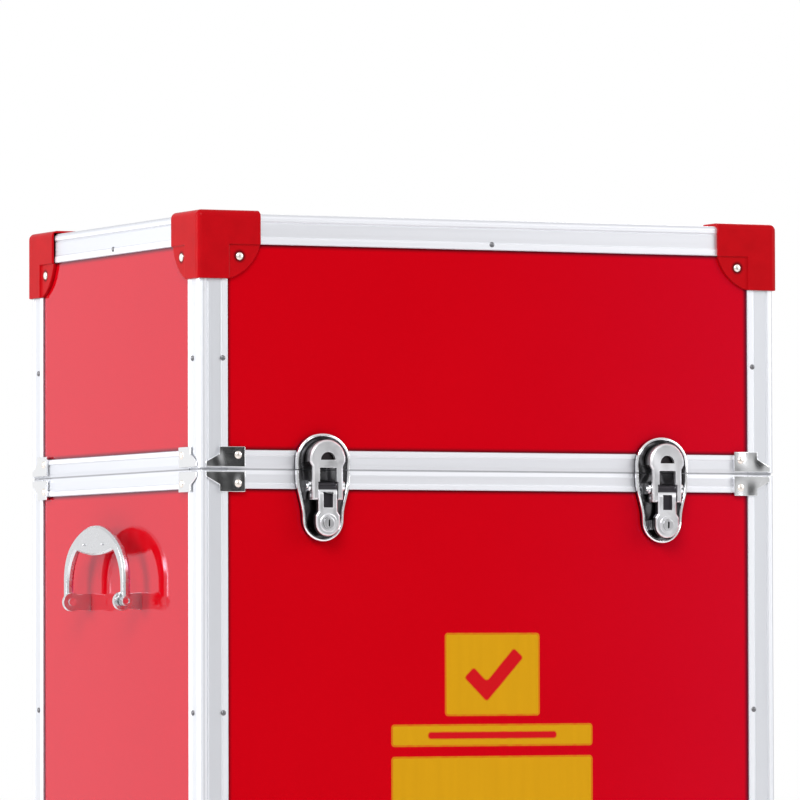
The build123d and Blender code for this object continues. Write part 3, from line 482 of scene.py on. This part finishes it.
# Corner braces, slot plate and hinges. Pressed steel with a bright chrome plate. Each brace is drawn tight
# at its tip and stands a little off at its riveted end, so it leans outwards and mirrors past the corner.
CHROME = "#F2F3F5"
PLATE_EDGE = 0.45 * MM
BRACE_START = 3.6 * MM
BRACE_REACH = 29.7 * MM
BRACE_SLOPE_REACH = 12.6 * MM
BRACE_SEAM_GAP = 1.4 * MM
BRACE_TIP_HEIGHT = 4.7 * MM
BRACE_SLOPE_HEIGHT = 9.6 * MM
BRACE_HEIGHT = 14 * MM
BRACE_THICKNESS = 0.9 * MM
BRACE_STAND_OFF = 0.9 * MM

chrome = plated_metal("chrome_plate", CHROME, roughness=0.1, grain=9 * MM, dent=0.7 * MM)
brace_chrome = plated_metal("pressed_brace_chrome", CHROME, roughness=0.16, grain=5 * MM, dent=1.5 * MM)
plates = ["slot_plate", "hinge_body_leaves", "hinge_lid_leaves"]
give(chrome, *plates, "hinge_pins", "handle_pins")
for name in plates:
    ease_edges(name, PLATE_EDGE)


def brace_out(reach):
    """How far a brace's outer face stands off the edging, at this reach from the case's corner."""
    return BRACE_THICKNESS + BRACE_STAND_OFF * (reach - BRACE_START) / (BRACE_REACH - BRACE_START)


def add_brace(shape, across, along, up, on_front):
    """One plate of a corner's brace, on its front or back leg or on its side leg, above or below the seam."""
    outline = [(BRACE_START, BRACE_SEAM_GAP), (BRACE_REACH, BRACE_SEAM_GAP), (BRACE_REACH, BRACE_HEIGHT),
               (BRACE_SLOPE_REACH, BRACE_HEIGHT), (BRACE_SLOPE_REACH, BRACE_SLOPE_HEIGHT),
               (BRACE_START, BRACE_TIP_HEIGHT)]
    before = set(shape.verts)
    prism(shape, [(reach, 0, height) for reach, height in outline], (0, 1, 0))
    for vert in set(shape.verts) - before:
        reach, outer, height = vert.co
        out = brace_out(reach) if outer else 0
        x, y = case_half.x + out, case_half.y - reach
        if on_front:
            x, y = case_half.x - reach, case_half.y + out
        vert.co = (case_middle.x + across * x, case_middle.y + along * y, seam_z + up * height)


for owner, up in (("body", -1), ("lid", 1)):
    braces = bmesh.new()
    for across in (-1, 1):
        for along in (-1, 1):
            add_brace(braces, across, along, up, True)
            add_brace(braces, across, along, up, False)
    bmesh.ops.remove_doubles(braces, verts=braces.verts, dist=WELD_REACH)
    bmesh.ops.bevel(braces, geom=braces.edges, offset=PLATE_EDGE, offset_type="OFFSET", affect="EDGES",
                    segments=2, profile=0.5, material=-1)
    piece = finish_piece(f"{owner}_brace_plates", braces, brace_chrome, owner)
    keep_flat(piece)
    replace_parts(piece, f"{owner}_corner_braces")


# Rivets and screws. Domed nickel-plated rivets, warmer and softer than the chrome, hold the caps, braces
# and hinges. Round-headed screws like them hold the slot plate, and hold each handle bracket from inside
# the case. Each head is given as its radius and its rise.
NICKEL = "#F2EAE2"
CAP_RIVET = (2.6 * MM, 1.1 * MM)
BRACE_RIVET = (2.4 * MM, 1.1 * MM)
SLOT_SCREW = (3 * MM, 1 * MM)
BRACKET_SCREW = (4 * MM, 1.2 * MM)
ROUND_HEAD_SHARES = [(0, 1), (0.3, 0.96), (0.58, 0.82), (0.8, 0.58), (0.94, 0.26), (1, 0)]
CAP_TAB_RISE = 0.8 * MM
BRACE_RIVET_PLACE = 25 * MM
BRACE_RIVET_RISE = 8.8 * MM
HINGE_PLACE = 110 * MM
HINGE_RIVET_SPREAD = 20 * MM
HINGE_RIVET_RISE = 24 * MM
HINGE_LEAF_FACE = 0.1 * MM
SLOT_SCREW_INSET = 9 * MM
BRACKET_SCREW_PLACE = 41.4 * MM

nickel = plated_metal("nickel_plate", NICKEL, roughness=0.34, grain=2 * MM)


def case_rivets(cap_z, up):
    """The rivets of the lid, or of the body: twelve on its caps, eight on its braces, six on its hinges."""
    shape = bmesh.new()
    cap_x, cap_y = case_half.x - CAP_RIVET_PLACE, case_half.y - CAP_RIVET_PLACE
    rivet_z = cap_z - up * CAP_RIVET_PLACE
    brace_z = seam_z + up * BRACE_RIVET_RISE
    brace_face = brace_out(BRACE_RIVET_PLACE)
    for size, x, y, z, outwards in (
        (CAP_RIVET, cap_x, case_half.y + CAP_TAB_RISE, rivet_z, (0, 1, 0)),
        (CAP_RIVET, case_half.x + CAP_TAB_RISE, cap_y, rivet_z, (1, 0, 0)),
        (CAP_RIVET, cap_x, cap_y, cap_z + up * CAP_TAB_RISE, (0, 0, up)),
        (BRACE_RIVET, case_half.x - BRACE_RIVET_PLACE, case_half.y + brace_face, brace_z, (0, 1, 0)),
        (BRACE_RIVET, case_half.x + brace_face, case_half.y - BRACE_RIVET_PLACE, brace_z, (1, 0, 0)),
    ):
        for place, facing in mirrored_faces(x, y, z, outwards):
            add_head(shape, place, facing, size, ROUND_HEAD_SHARES)
    for hinge in (-HINGE_PLACE, HINGE_PLACE):
        for across in (-HINGE_RIVET_SPREAD, 0, HINGE_RIVET_SPREAD):
            place = (hinge + across, case_high.y + HINGE_LEAF_FACE, seam_z + up * HINGE_RIVET_RISE)
            add_head(shape, place, (0, 1, 0), BRACE_RIVET, ROUND_HEAD_SHARES)
    return shape


body_heads = case_rivets(case_low.z, -1)
board_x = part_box("body_right_panel")[0][0]
pin_low, pin_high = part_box("handle_pins")
pin_z = (pin_low[2] + pin_high[2]) / 2
for place, outwards in mirrored_faces(board_x, BRACKET_SCREW_PLACE, pin_z, (-1, 0, 0)):
    add_head(body_heads, place, outwards, BRACKET_SCREW, ROUND_HEAD_SHARES)
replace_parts(finish_piece("body_rivet_heads", body_heads, nickel, "body"), "body_rivets")

lid_heads = case_rivets(case_high.z, 1)
slot_low, slot_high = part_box("slot_plate")
slot_half = (Vector(slot_high) - Vector(slot_low)) / 2
for place, outwards in mirrored_faces(slot_half.x - SLOT_SCREW_INSET, slot_half.y - SLOT_SCREW_INSET,
                                      slot_high[2], (0, 0, 1)):
    add_head(lid_heads, place, outwards, SLOT_SCREW, ROUND_HEAD_SHARES)
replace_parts(finish_piece("lid_rivet_heads", lid_heads, nickel, "lid"), "lid_rivets")


# Toggle latches. The strike and the base are deep-drawn dishes with a rolled lip, open at the seam, chrome
# plated outside, and darkened at the bottom with painted shade. The claw and lever are heavier pressings
# whose plate is duller, and the plug and its barrel are turned; their recessed parts get painted shade too.
# The base carries two cheeks and the cam's keeper.
DULL_CHROME = "#E9E9EC"
GREASED_STEEL = "#4B4648"
LATCH_PLACE = 118 * MM
LATCH_EDGE = 0.4 * MM
PLUG_EDGE = 0.25 * MM
LATCH_SEAM_GAP = 0.3 * MM
DISH_HALF_WIDTH = 18.5 * MM
DISH_FLOOR = 1.2 * MM
LIP_WIDTH = 2.2 * MM
LIP_HEIGHT = 3.2 * MM
LIP_ROUND = 1 * MM
LIP_LEVEL_REACH = 0.01 * MM
LIP_ANGLE = math.radians(60)
STRIKE_END = (18.5 * MM, 5.5 * MM, 17.3 * MM)
BASE_END = (13.9 * MM, 30.5 * MM, 13.9 * MM)
NARROWING_START = 4 * MM
SIDE_STEPS = 14
ARC_STEPS = 28
SEAT_SHARE = 0.985
PIVOT_DROP = 10 * MM
PIVOT_OUT = 5 * MM
CHEEK_RADIUS = 3.4 * MM
CHEEK_INSIDE = 10.7 * MM
CHEEK_THICKNESS = 1.5 * MM
CHEEK_STEPS = 12
KEEPER_DROP = 36 * MM
KEEPER_HEIGHT = 6 * MM
KEEPER_INSIDE = 7.9 * MM
KEEPER_OUTSIDE = 9.3 * MM
KEEPER_LIP = 5.6 * MM
KEEPER_TOP = 5 * MM
KEEPER_LIP_UNDER = 4 * MM
RIB_RADIUS = 10 * MM
RIB_CENTRE = 6.5 * MM
RIB_FOOT = 3.5 * MM
RIB_OUT = 5.5 * MM

dish_chrome = plated_metal("pressed_dish_chrome", CHROME, roughness=0.2, grain=4 * MM, dent=2.6 * MM,
                           sunk=(1 * MM, 2.4 * MM))
lever_chrome = plated_metal("pressed_lever_chrome", DULL_CHROME, roughness=0.36, grain=4 * MM, dent=0.8 * MM,
                            sunk=(9.1 * MM, 9.6 * MM))
claw_chrome = plated_metal("pressed_claw_chrome", DULL_CHROME, roughness=0.36, grain=4 * MM, dent=0.8 * MM,
                           sunk=(4 * MM, 6.5 * MM))
plug_chrome = plated_metal("turned_plug_chrome", DULL_CHROME, roughness=0.3, grain=5 * MM,
                           sunk=(11.3 * MM, 11.6 * MM))
greased_steel = plated_metal("greased_steel", GREASED_STEEL, roughness=0.4, grain=3 * MM)


def dish_outline(end_half_width, end_centre, end_height):
    """Pairs of place across and distance from the seam: down one side, round the end and up the other."""
    side = []
    # The outline starts past the seam, and the dish is cut off there
    start = -2 * LIP_WIDTH
    for step in range(SIDE_STEPS + 1):
        drop = start + (end_centre - start) * step / SIDE_STEPS
        narrowed = min(max((drop - NARROWING_START) / (end_centre - NARROWING_START), 0), 1)
        ease = (1 + math.cos(math.pi * narrowed)) / 2
        side.append((end_half_width + (DISH_HALF_WIDTH - end_half_width) * ease, drop))
    turns = [math.pi * step / ARC_STEPS for step in range(1, ARC_STEPS)]
    end = [(end_half_width * math.cos(turn), end_centre + end_height * math.sin(turn)) for turn in turns]
    return side + end + [(-across, drop) for across, drop in reversed(side)]


def latch_dish(latch_x, up, end):
    """A dish with its rolled lip, and its seat where it reaches past the rim and lies on the board."""
    shape = bmesh.new()
    outline = dish_outline(*end)
    face = prism(shape, [(latch_x + across, case_low.y, seam_z + up * drop) for across, drop in outline],
                 (0, -LIP_HEIGHT, 0))
    bmesh.ops.inset_individual(shape, faces=[face], thickness=LIP_WIDTH, use_even_offset=True)
    pressed = bmesh.ops.extrude_face_region(shape, geom=[face])["geom"]
    move_extruded(shape, pressed, (0, LIP_HEIGHT - DISH_FLOOR, 0))
    bmesh.ops.delete(shape, geom=[face], context="FACES_ONLY")
    lip_y = case_low.y - LIP_HEIGHT
    lip_edges = [edge for edge in shape.edges if edge.calc_face_angle() > LIP_ANGLE
                 and all(abs(vert.co.y - lip_y) < LIP_LEVEL_REACH for vert in edge.verts)]
    bmesh.ops.bevel(shape, geom=lip_edges, offset=LIP_ROUND, offset_type="OFFSET", affect="EDGES",
                    segments=3, profile=0.5, material=-1)
    bmesh.ops.bisect_plane(shape, geom=shape.verts[:] + shape.edges[:] + shape.faces[:], clear_outer=True,
                           plane_co=(0, 0, seam_z + up * LATCH_SEAM_GAP), plane_no=(0, 0, -up))
    bmesh.ops.holes_fill(shape, edges=[edge for edge in shape.edges if edge.is_boundary], sides=0)
    seat_y = case_low.y - DISH_FLOOR / 2
    seat = [(SEAT_SHARE * across, rim_height + SEAT_SHARE * (drop - rim_height))
            for across, drop in outline if drop > rim_height]
    prism(shape, [(latch_x + across, board_y, seam_z + up * drop) for across, drop in seat],
          (0, seat_y - board_y, 0))
    return shape


def add_cheeks(shape, latch_x):
    """The two cheeks that carry the pivot pin, with round ends."""
    pivot_z = seam_z - PIVOT_DROP
    turns = [math.pi * (0.5 - step / CHEEK_STEPS) for step in range(CHEEK_STEPS + 1)]
    round_end = [(PIVOT_OUT + CHEEK_RADIUS * math.cos(turn), CHEEK_RADIUS * math.sin(turn)) for turn in turns]
    profile = [(DISH_FLOOR / 2, CHEEK_RADIUS)] + round_end + [(DISH_FLOOR / 2, -CHEEK_RADIUS)]
    for side in (-1, 1):
        cheek_x = latch_x + side * CHEEK_INSIDE
        prism(shape, [(cheek_x, case_low.y - out, pivot_z + rise) for out, rise in profile],
              (side * CHEEK_THICKNESS, 0, 0))


def add_keeper(shape, latch_x, outer):
    """The keeper that the plug's cam turns under: a wall with a lip over it, on the latch's inner side."""
    section = [(KEEPER_INSIDE, DISH_FLOOR / 2), (KEEPER_OUTSIDE, DISH_FLOOR / 2),
               (KEEPER_OUTSIDE, KEEPER_TOP), (KEEPER_LIP, KEEPER_TOP),
               (KEEPER_LIP, KEEPER_LIP_UNDER), (KEEPER_INSIDE, KEEPER_LIP_UNDER)]
    prism(shape, [(latch_x - outer * x, case_low.y - out, seam_z - KEEPER_DROP) for x, out in section],
          (0, 0, KEEPER_HEIGHT))


def add_rib(shape, latch_x):
    """The strike's rib, which the claw's hood is drawn over: a half disc on a short straight foot."""
    turns = [math.pi * step / ARC_STEPS for step in range(ARC_STEPS + 1)]
    outline = [(RIB_RADIUS * math.cos(turn), RIB_CENTRE + RIB_RADIUS * math.sin(turn)) for turn in turns]
    outline = [(RIB_RADIUS, RIB_FOOT)] + outline + [(-RIB_RADIUS, RIB_FOOT)]
    before = set(shape.faces)
    prism(shape, [(latch_x + across, case_low.y - DISH_FLOOR / 2, seam_z + rise) for across, rise in outline],
          (0, DISH_FLOOR / 2 - RIB_OUT, 0))
    for face in set(shape.faces) - before:
        face.material_index = 1


for side, outer in (("left", -1), ("right", 1)):
    latch_x = outer * LATCH_PLACE
    give(claw_chrome, f"{side}_latch_claw", f"{side}_claw_pin")
    give(lever_chrome, f"{side}_latch_lever")
    give(plug_chrome, f"{side}_key_plug")
    ease_edges(f"{side}_latch_lever", LATCH_EDGE)
    ease_edges(f"{side}_latch_claw", LATCH_EDGE)
    ease_edges(f"{side}_key_plug", PLUG_EDGE)
    strike = latch_dish(latch_x, 1, STRIKE_END)
    add_rib(strike, latch_x)
    strike_dish = finish_piece(f"{side}_strike_dish", strike, dish_chrome, "lid")
    keep_flat(strike_dish)
    strike_dish.data.materials.append(greased_steel)
    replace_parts(strike_dish, f"{side}_latch_strike")
    base = latch_dish(latch_x, -1, BASE_END)
    add_cheeks(base, latch_x)
    add_keeper(base, latch_x, outer)
    base_dish = finish_piece(f"{side}_base_dish", base, dish_chrome, "body")
    keep_flat(base_dish)
    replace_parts(base_dish, f"{side}_latch_base")
give(chrome, "latch_pivot_pins")


# Side handles. Each is a zinc casting, polished and chrome plated, so every edge is soft, and two small
# sprue marks are left on its crown. Its brackets are cast and plated the same way.
CAST_CHROME = "#D8D9DC"
HANDLE_EDGE = 0.55 * MM
SPRUE_MARK = (0.9 * MM, 0.35 * MM)
SPRUE_PLACE = 15 * MM
SPRUE_DROP = 12 * MM

cast_chrome = plated_metal("cast_zinc_chrome", CAST_CHROME, roughness=0.26, grain=6 * MM, dent=0.6 * MM)
give(cast_chrome, "left_handle", "right_handle", "handle_brackets")
ease_edges("handle_brackets", PLATE_EDGE)
for side, outer in (("left", -1), ("right", 1)):
    ease_edges(f"{side}_handle", HANDLE_EDGE, 3)
    low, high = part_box(f"{side}_handle")
    face_x = high[0] if outer > 0 else low[0]
    marks = bmesh.new()
    for along in (-1, 1):
        place = (face_x, case_middle.y + along * SPRUE_PLACE, high[2] - SPRUE_DROP)
        add_head(marks, place, (outer, 0, 0), SPRUE_MARK, ROUND_HEAD_SHARES)
    finish_piece(f"{side}_handle_sprue_marks", marks, cast_chrome, f"{side}_bail")


# Painted sign. Gold paint drawn through a stencil onto the front board, with a thin orange edge where it
# was masked: a folded paper with a tick on it, going into a slotted box. Bars are given as half their
# width, their foot and their head, from the case's middle and from the seam.
GOLD = "#C69104"
GOLD_WORN = "#BD8901"
MASKED_EDGE = "#C4420B"
PAINT_ROUGHNESS = 0.4
PAINT_IOR = 1.5
PAINT_GLOSS_LEVEL = 0.12
PAINT_COAT = 0.05 * MM
EDGE_WIDTH = 1.2 * MM
SIGN_CORNER = 2.2 * MM
SQUEEGEE_STREAK = 5 * MM
SQUEEGEE_STROKE = 90 * MM
STREAK_DEPTH = 0.1 * MM
SIGN_BOX = (70 * MM, -233 * MM, -178 * MM)
SIGN_LID = (70 * MM, -172 * MM, -158 * MM)
SIGN_SLOT = (45 * MM, -167.5 * MM, -162.5 * MM)
SIGN_PAPER = (33 * MM, -153 * MM, -101 * MM)
SIGN_TICK = [(-20 * MM, -129 * MM), (-13 * MM, -122 * MM), (-4 * MM, -131 * MM),
             (15 * MM, -110 * MM), (22 * MM, -116.5 * MM), (-4 * MM, -144.5 * MM)]


def sign_paint(name, colour, worn_colour):
    """Flat paint with a low sheen, in faint upright streaks that the squeegee left."""
    material, shader = new_material(name, Roughness=PAINT_ROUGHNESS, IOR=PAINT_IOR,
                                    Specular_IOR_Level=PAINT_GLOSS_LEVEL)
    place = add_node(material, "ShaderNodeTexCoord").outputs["Object"]
    stretched = add_node(material, "ShaderNodeMapping", {
        "Vector": place, "Scale": (1 / SQUEEGEE_STREAK, 1 / SQUEEGEE_STREAK, 1 / SQUEEGEE_STROKE)})
    streaks = add_node(material, "ShaderNodeTexNoise", {
        "Vector": stretched.outputs["Vector"], "Scale": 1.0, "Detail": 3.0})
    mixed = add_node(material, "ShaderNodeMix", {
        "Factor": streaks.outputs["Fac"], 6: linear(colour), 7: linear(worn_colour)}, data_type="RGBA")
    material.node_tree.links.new(mixed.outputs[2], shader.inputs["Base Color"])
    add_bump(material, shader, streaks.outputs["Fac"], 0.1, STREAK_DEPTH)
    return material


def bar(half_width, foot, head):
    """The outline of an upright rectangle about the case's middle."""
    return [(-half_width, foot), (half_width, foot), (half_width, head), (-half_width, head)]


def add_coat(shape, outline, coat, paint, narrower=0):
    """One coat of paint with this outline, its corners rounded, over the coats before it."""
    face_y = board_y - coat * PAINT_COAT
    before = set(shape.faces)
    corners = [shape.verts.new((x, face_y, seam_z + z)) for x, z in outline]
    shape.faces.new(corners)
    bmesh.ops.bevel(shape, geom=corners, offset=SIGN_CORNER, offset_type="OFFSET", affect="VERTICES",
                    segments=4, profile=0.5, material=-1)
    patch, = set(shape.faces) - before
    if narrower:
        masked = bmesh.ops.inset_individual(shape, faces=[patch], thickness=narrower, use_even_offset=True)
        bmesh.ops.delete(shape, geom=masked["faces"], context="FACES")
    raised = bmesh.ops.extrude_face_region(shape, geom=[patch])["geom"]
    move_extruded(shape, raised, (0, -PAINT_COAT, 0))
    for face in set(shape.faces) - before:
        face.material_index = paint


sign = bmesh.new()
for outline in (bar(*SIGN_BOX), bar(*SIGN_LID), bar(*SIGN_PAPER)):
    add_coat(sign, outline, 0, 1)
    add_coat(sign, outline, 1, 0, EDGE_WIDTH)
for outline in (bar(*SIGN_SLOT), SIGN_TICK):
    add_coat(sign, outline, 2, 1)
    add_coat(sign, outline, 3, 2, EDGE_WIDTH / 2)
gold_paint = sign_paint("gold_sign_paint", GOLD, GOLD_WORN)
painted_sign = finish_piece("painted_sign", sign, gold_paint, "body")
painted_sign.data.materials.append(sign_paint("orange_masked_edge", MASKED_EDGE, GOLD_WORN))
painted_sign.data.materials.append(sign_paint("red_sign_paint", LAMINATE_RED, LAMINATE_RED_WORN))


# Floor. A matt pale disc, just under the bottom caps, that fades out into the studio's white before its
# rim. Places and sizes from here on are in metres.
FLOOR_WHITE = "#F2F2F2"
FLOOR_RADIUS = 2.5
FLOOR_FADE = (0.9, 2.4)
FLOOR_DROP = 0.2 * MM


def pale_floor():
    """Matt paint that turns clear towards the disc's rim."""
    material = bpy.data.materials.new("pale_floor")
    material.use_nodes = True
    material.node_tree.nodes.clear()
    place = add_node(material, "ShaderNodeTexCoord").outputs["Object"]
    away = add_node(material, "ShaderNodeVectorMath", {0: place}, operation="LENGTH")
    fade = add_node(material, "ShaderNodeMapRange", {
        "Value": away.outputs["Value"], "From Min": FLOOR_FADE[0], "From Max": FLOOR_FADE[1]},
        interpolation_type="SMOOTHSTEP")
    paint = add_node(material, "ShaderNodeBsdfDiffuse", {"Color": linear(FLOOR_WHITE)})
    clear = add_node(material, "ShaderNodeBsdfTransparent")
    mixed = add_node(material, "ShaderNodeMixShader", {
        0: fade.outputs["Result"], 1: paint.outputs["BSDF"], 2: clear.outputs["BSDF"]})
    add_node(material, "ShaderNodeOutputMaterial", {"Surface": mixed.outputs["Shader"]})
    return material


disc = bmesh.new()
bmesh.ops.create_circle(disc, cap_ends=True, segments=96, radius=FLOOR_RADIUS,
                        matrix=Matrix.Translation((0, 0, -FLOOR_DROP)))
floor_mesh = bpy.data.meshes.new("floor")
disc.to_mesh(floor_mesh)
disc.free()
floor_mesh.materials.append(pale_floor())
floor = bpy.data.objects.new("floor", floor_mesh)
bpy.context.scene.collection.objects.link(floor)
floor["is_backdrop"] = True


# Studio. The room is pale all round, brightest behind the case and a little darker level with the eye than
# overhead. A tall narrow black flag stands where the front face would mirror it, which keeps the red deep
# and the chrome crisp. Four soft boxes light the case, each with its place, aim, width, height and watts.
ROOM_LEVEL = 0.62
ROOM_OVERHEAD = 0.82
ROOM_RISE = (0.1, 0.6)
ROOM_BACK = 0.95
ROOM_BACK_TURN = (0.2, 0.8)
ROOM_FILL = 0.55
FLAG_AZIMUTH = 0.33
FLAG_HEIGHT = 0.035
FLAG_DARK = 0.02
FLAG_HALF_WIDTH = (0.11, 0.20)
FLAG_HALF_HEIGHT = (0.16, 0.34)
SOFT_BOXES = {
    "key_box": ((-1.6, -2.2, 2.3), (0, 0, 0.45), 1.4, 1.4, 60),
    "fill_box": ((2.2, -1.6, 1.4), (0, 0, 0.45), 1.2, 1.6, 26),
    "back_box": ((2.2, 2.4, 1.7), (0, 0, 0.4), 1.4, 1.6, 45),
    "side_box": ((-2.8, 0.8, 1.2), (0, 0, 0.4), 1.4, 1.8, 55),
}


def studio_room():
    """What the case mirrors, an even fill for what is matt, and plain white for the camera."""
    world = bpy.data.worlds.new("studio")
    world.use_nodes = True
    world.node_tree.nodes.clear()
    direction = add_node(world, "ShaderNodeTexCoord").outputs["Generated"]
    axes = add_node(world, "ShaderNodeSeparateXYZ", {"Vector": direction})
    # The flag's upright edges, its top and foot, and the half of the room without it
    across = (math.cos(FLAG_AZIMUTH), math.sin(FLAG_AZIMUTH), 0)
    sideways = add_node(world, "ShaderNodeVectorMath", {0: direction, 1: across}, operation="DOT_PRODUCT")
    aside = add_node(world, "ShaderNodeMath", {0: sideways.outputs["Value"]}, operation="ABSOLUTE")
    beside = add_node(world, "ShaderNodeMapRange", {
        "Value": aside.outputs["Value"], "From Min": FLAG_HALF_WIDTH[0], "From Max": FLAG_HALF_WIDTH[1]},
        interpolation_type="SMOOTHSTEP")
    rise = add_node(world, "ShaderNodeMath", {0: axes.outputs["Z"], 1: FLAG_HEIGHT}, operation="SUBTRACT")
    away = add_node(world, "ShaderNodeMath", {0: rise.outputs["Value"]}, operation="ABSOLUTE")
    above = add_node(world, "ShaderNodeMapRange", {
        "Value": away.outputs["Value"], "From Min": FLAG_HALF_HEIGHT[0], "From Max": FLAG_HALF_HEIGHT[1]},
        interpolation_type="SMOOTHSTEP")
    behind = add_node(world, "ShaderNodeMath", {0: axes.outputs["Y"], 1: 0.0}, operation="GREATER_THAN")
    clear = add_node(world, "ShaderNodeMath", {0: beside.outputs["Result"], 1: above.outputs["Result"]},
                     operation="MAXIMUM")
    unflagged = add_node(world, "ShaderNodeMath", {0: clear.outputs["Value"], 1: behind.outputs["Value"]},
                         operation="MAXIMUM")
    no_flag = add_node(world, "ShaderNodeMapRange", {
        "Value": unflagged.outputs["Value"], "To Min": FLAG_DARK})
    # The walls and the ceiling
    walls = add_node(world, "ShaderNodeMapRange", {
        "Value": axes.outputs["Y"], "From Min": ROOM_BACK_TURN[0], "From Max": ROOM_BACK_TURN[1],
        "To Min": ROOM_LEVEL, "To Max": ROOM_BACK}, interpolation_type="SMOOTHSTEP")
    room = add_node(world, "ShaderNodeMapRange", {
        "Value": axes.outputs["Z"], "From Min": ROOM_RISE[0], "From Max": ROOM_RISE[1],
        "To Min": walls.outputs["Result"], "To Max": ROOM_OVERHEAD})
    glow = add_node(world, "ShaderNodeMath", {0: room.outputs["Result"], 1: no_flag.outputs["Result"]},
                    operation="MULTIPLY")
    rays = add_node(world, "ShaderNodeLightPath")
    soft = add_node(world, "ShaderNodeMix", {
        "Factor": rays.outputs["Is Diffuse Ray"], 2: glow.outputs["Value"], 3: ROOM_FILL}, data_type="FLOAT")
    seen = add_node(world, "ShaderNodeMix", {
        "Factor": rays.outputs["Is Camera Ray"], 2: soft.outputs[0], 3: 1.0}, data_type="FLOAT")
    sky = add_node(world, "ShaderNodeBackground", {"Color": (1, 1, 1, 1), "Strength": seen.outputs[0]})
    add_node(world, "ShaderNodeOutputWorld", {"Surface": sky.outputs["Background"]})
    return world


bpy.context.scene.world = studio_room()
for name, (place, aim, width, height, watts) in SOFT_BOXES.items():
    lamp = bpy.data.lights.new(name, "AREA")
    lamp.shape = "RECTANGLE"
    lamp.size, lamp.size_y = width, height
    lamp.energy = watts
    holder = bpy.data.objects.new(name, lamp)
    holder.location = place
    holder.rotation_euler = (Vector(aim) - Vector(place)).to_track_quat("-Z", "Y").to_euler()
    bpy.context.scene.collection.objects.link(holder)


# Camera. A long lens, more than four metres from the case, a little below the lid's seam and looking up
# very slightly. Its angles are in radians, and its lens and film width in millimetres.
CAMERA_PLACE = (-1.8667, -3.98265, 0.4317)
CAMERA_YAW = 0.4382
CAMERA_PITCH = 0.0368
CAMERA_ROLL = -0.0027
LENS_LENGTH = 306.9
FILM_WIDTH = 36
SIGHT_END = 50

camera = bpy.data.objects.new("camera", bpy.data.cameras.new("camera"))
camera.data.sensor_width = FILM_WIDTH
camera.data.lens = LENS_LENGTH
camera.data.clip_end = SIGHT_END
camera.location = CAMERA_PLACE
looking = Vector((math.sin(CAMERA_YAW) * math.cos(CAMERA_PITCH),
                  math.cos(CAMERA_YAW) * math.cos(CAMERA_PITCH), math.sin(CAMERA_PITCH)))
turn = looking.to_track_quat("-Z", "Y").to_matrix() @ Matrix.Rotation(CAMERA_ROLL, 3, "Z")
camera.rotation_euler = turn.to_euler()
bpy.context.scene.collection.objects.link(camera)
bpy.context.scene.camera = camera
bpy.context.scene.view_settings.view_transform = "Standard"

low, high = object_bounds()
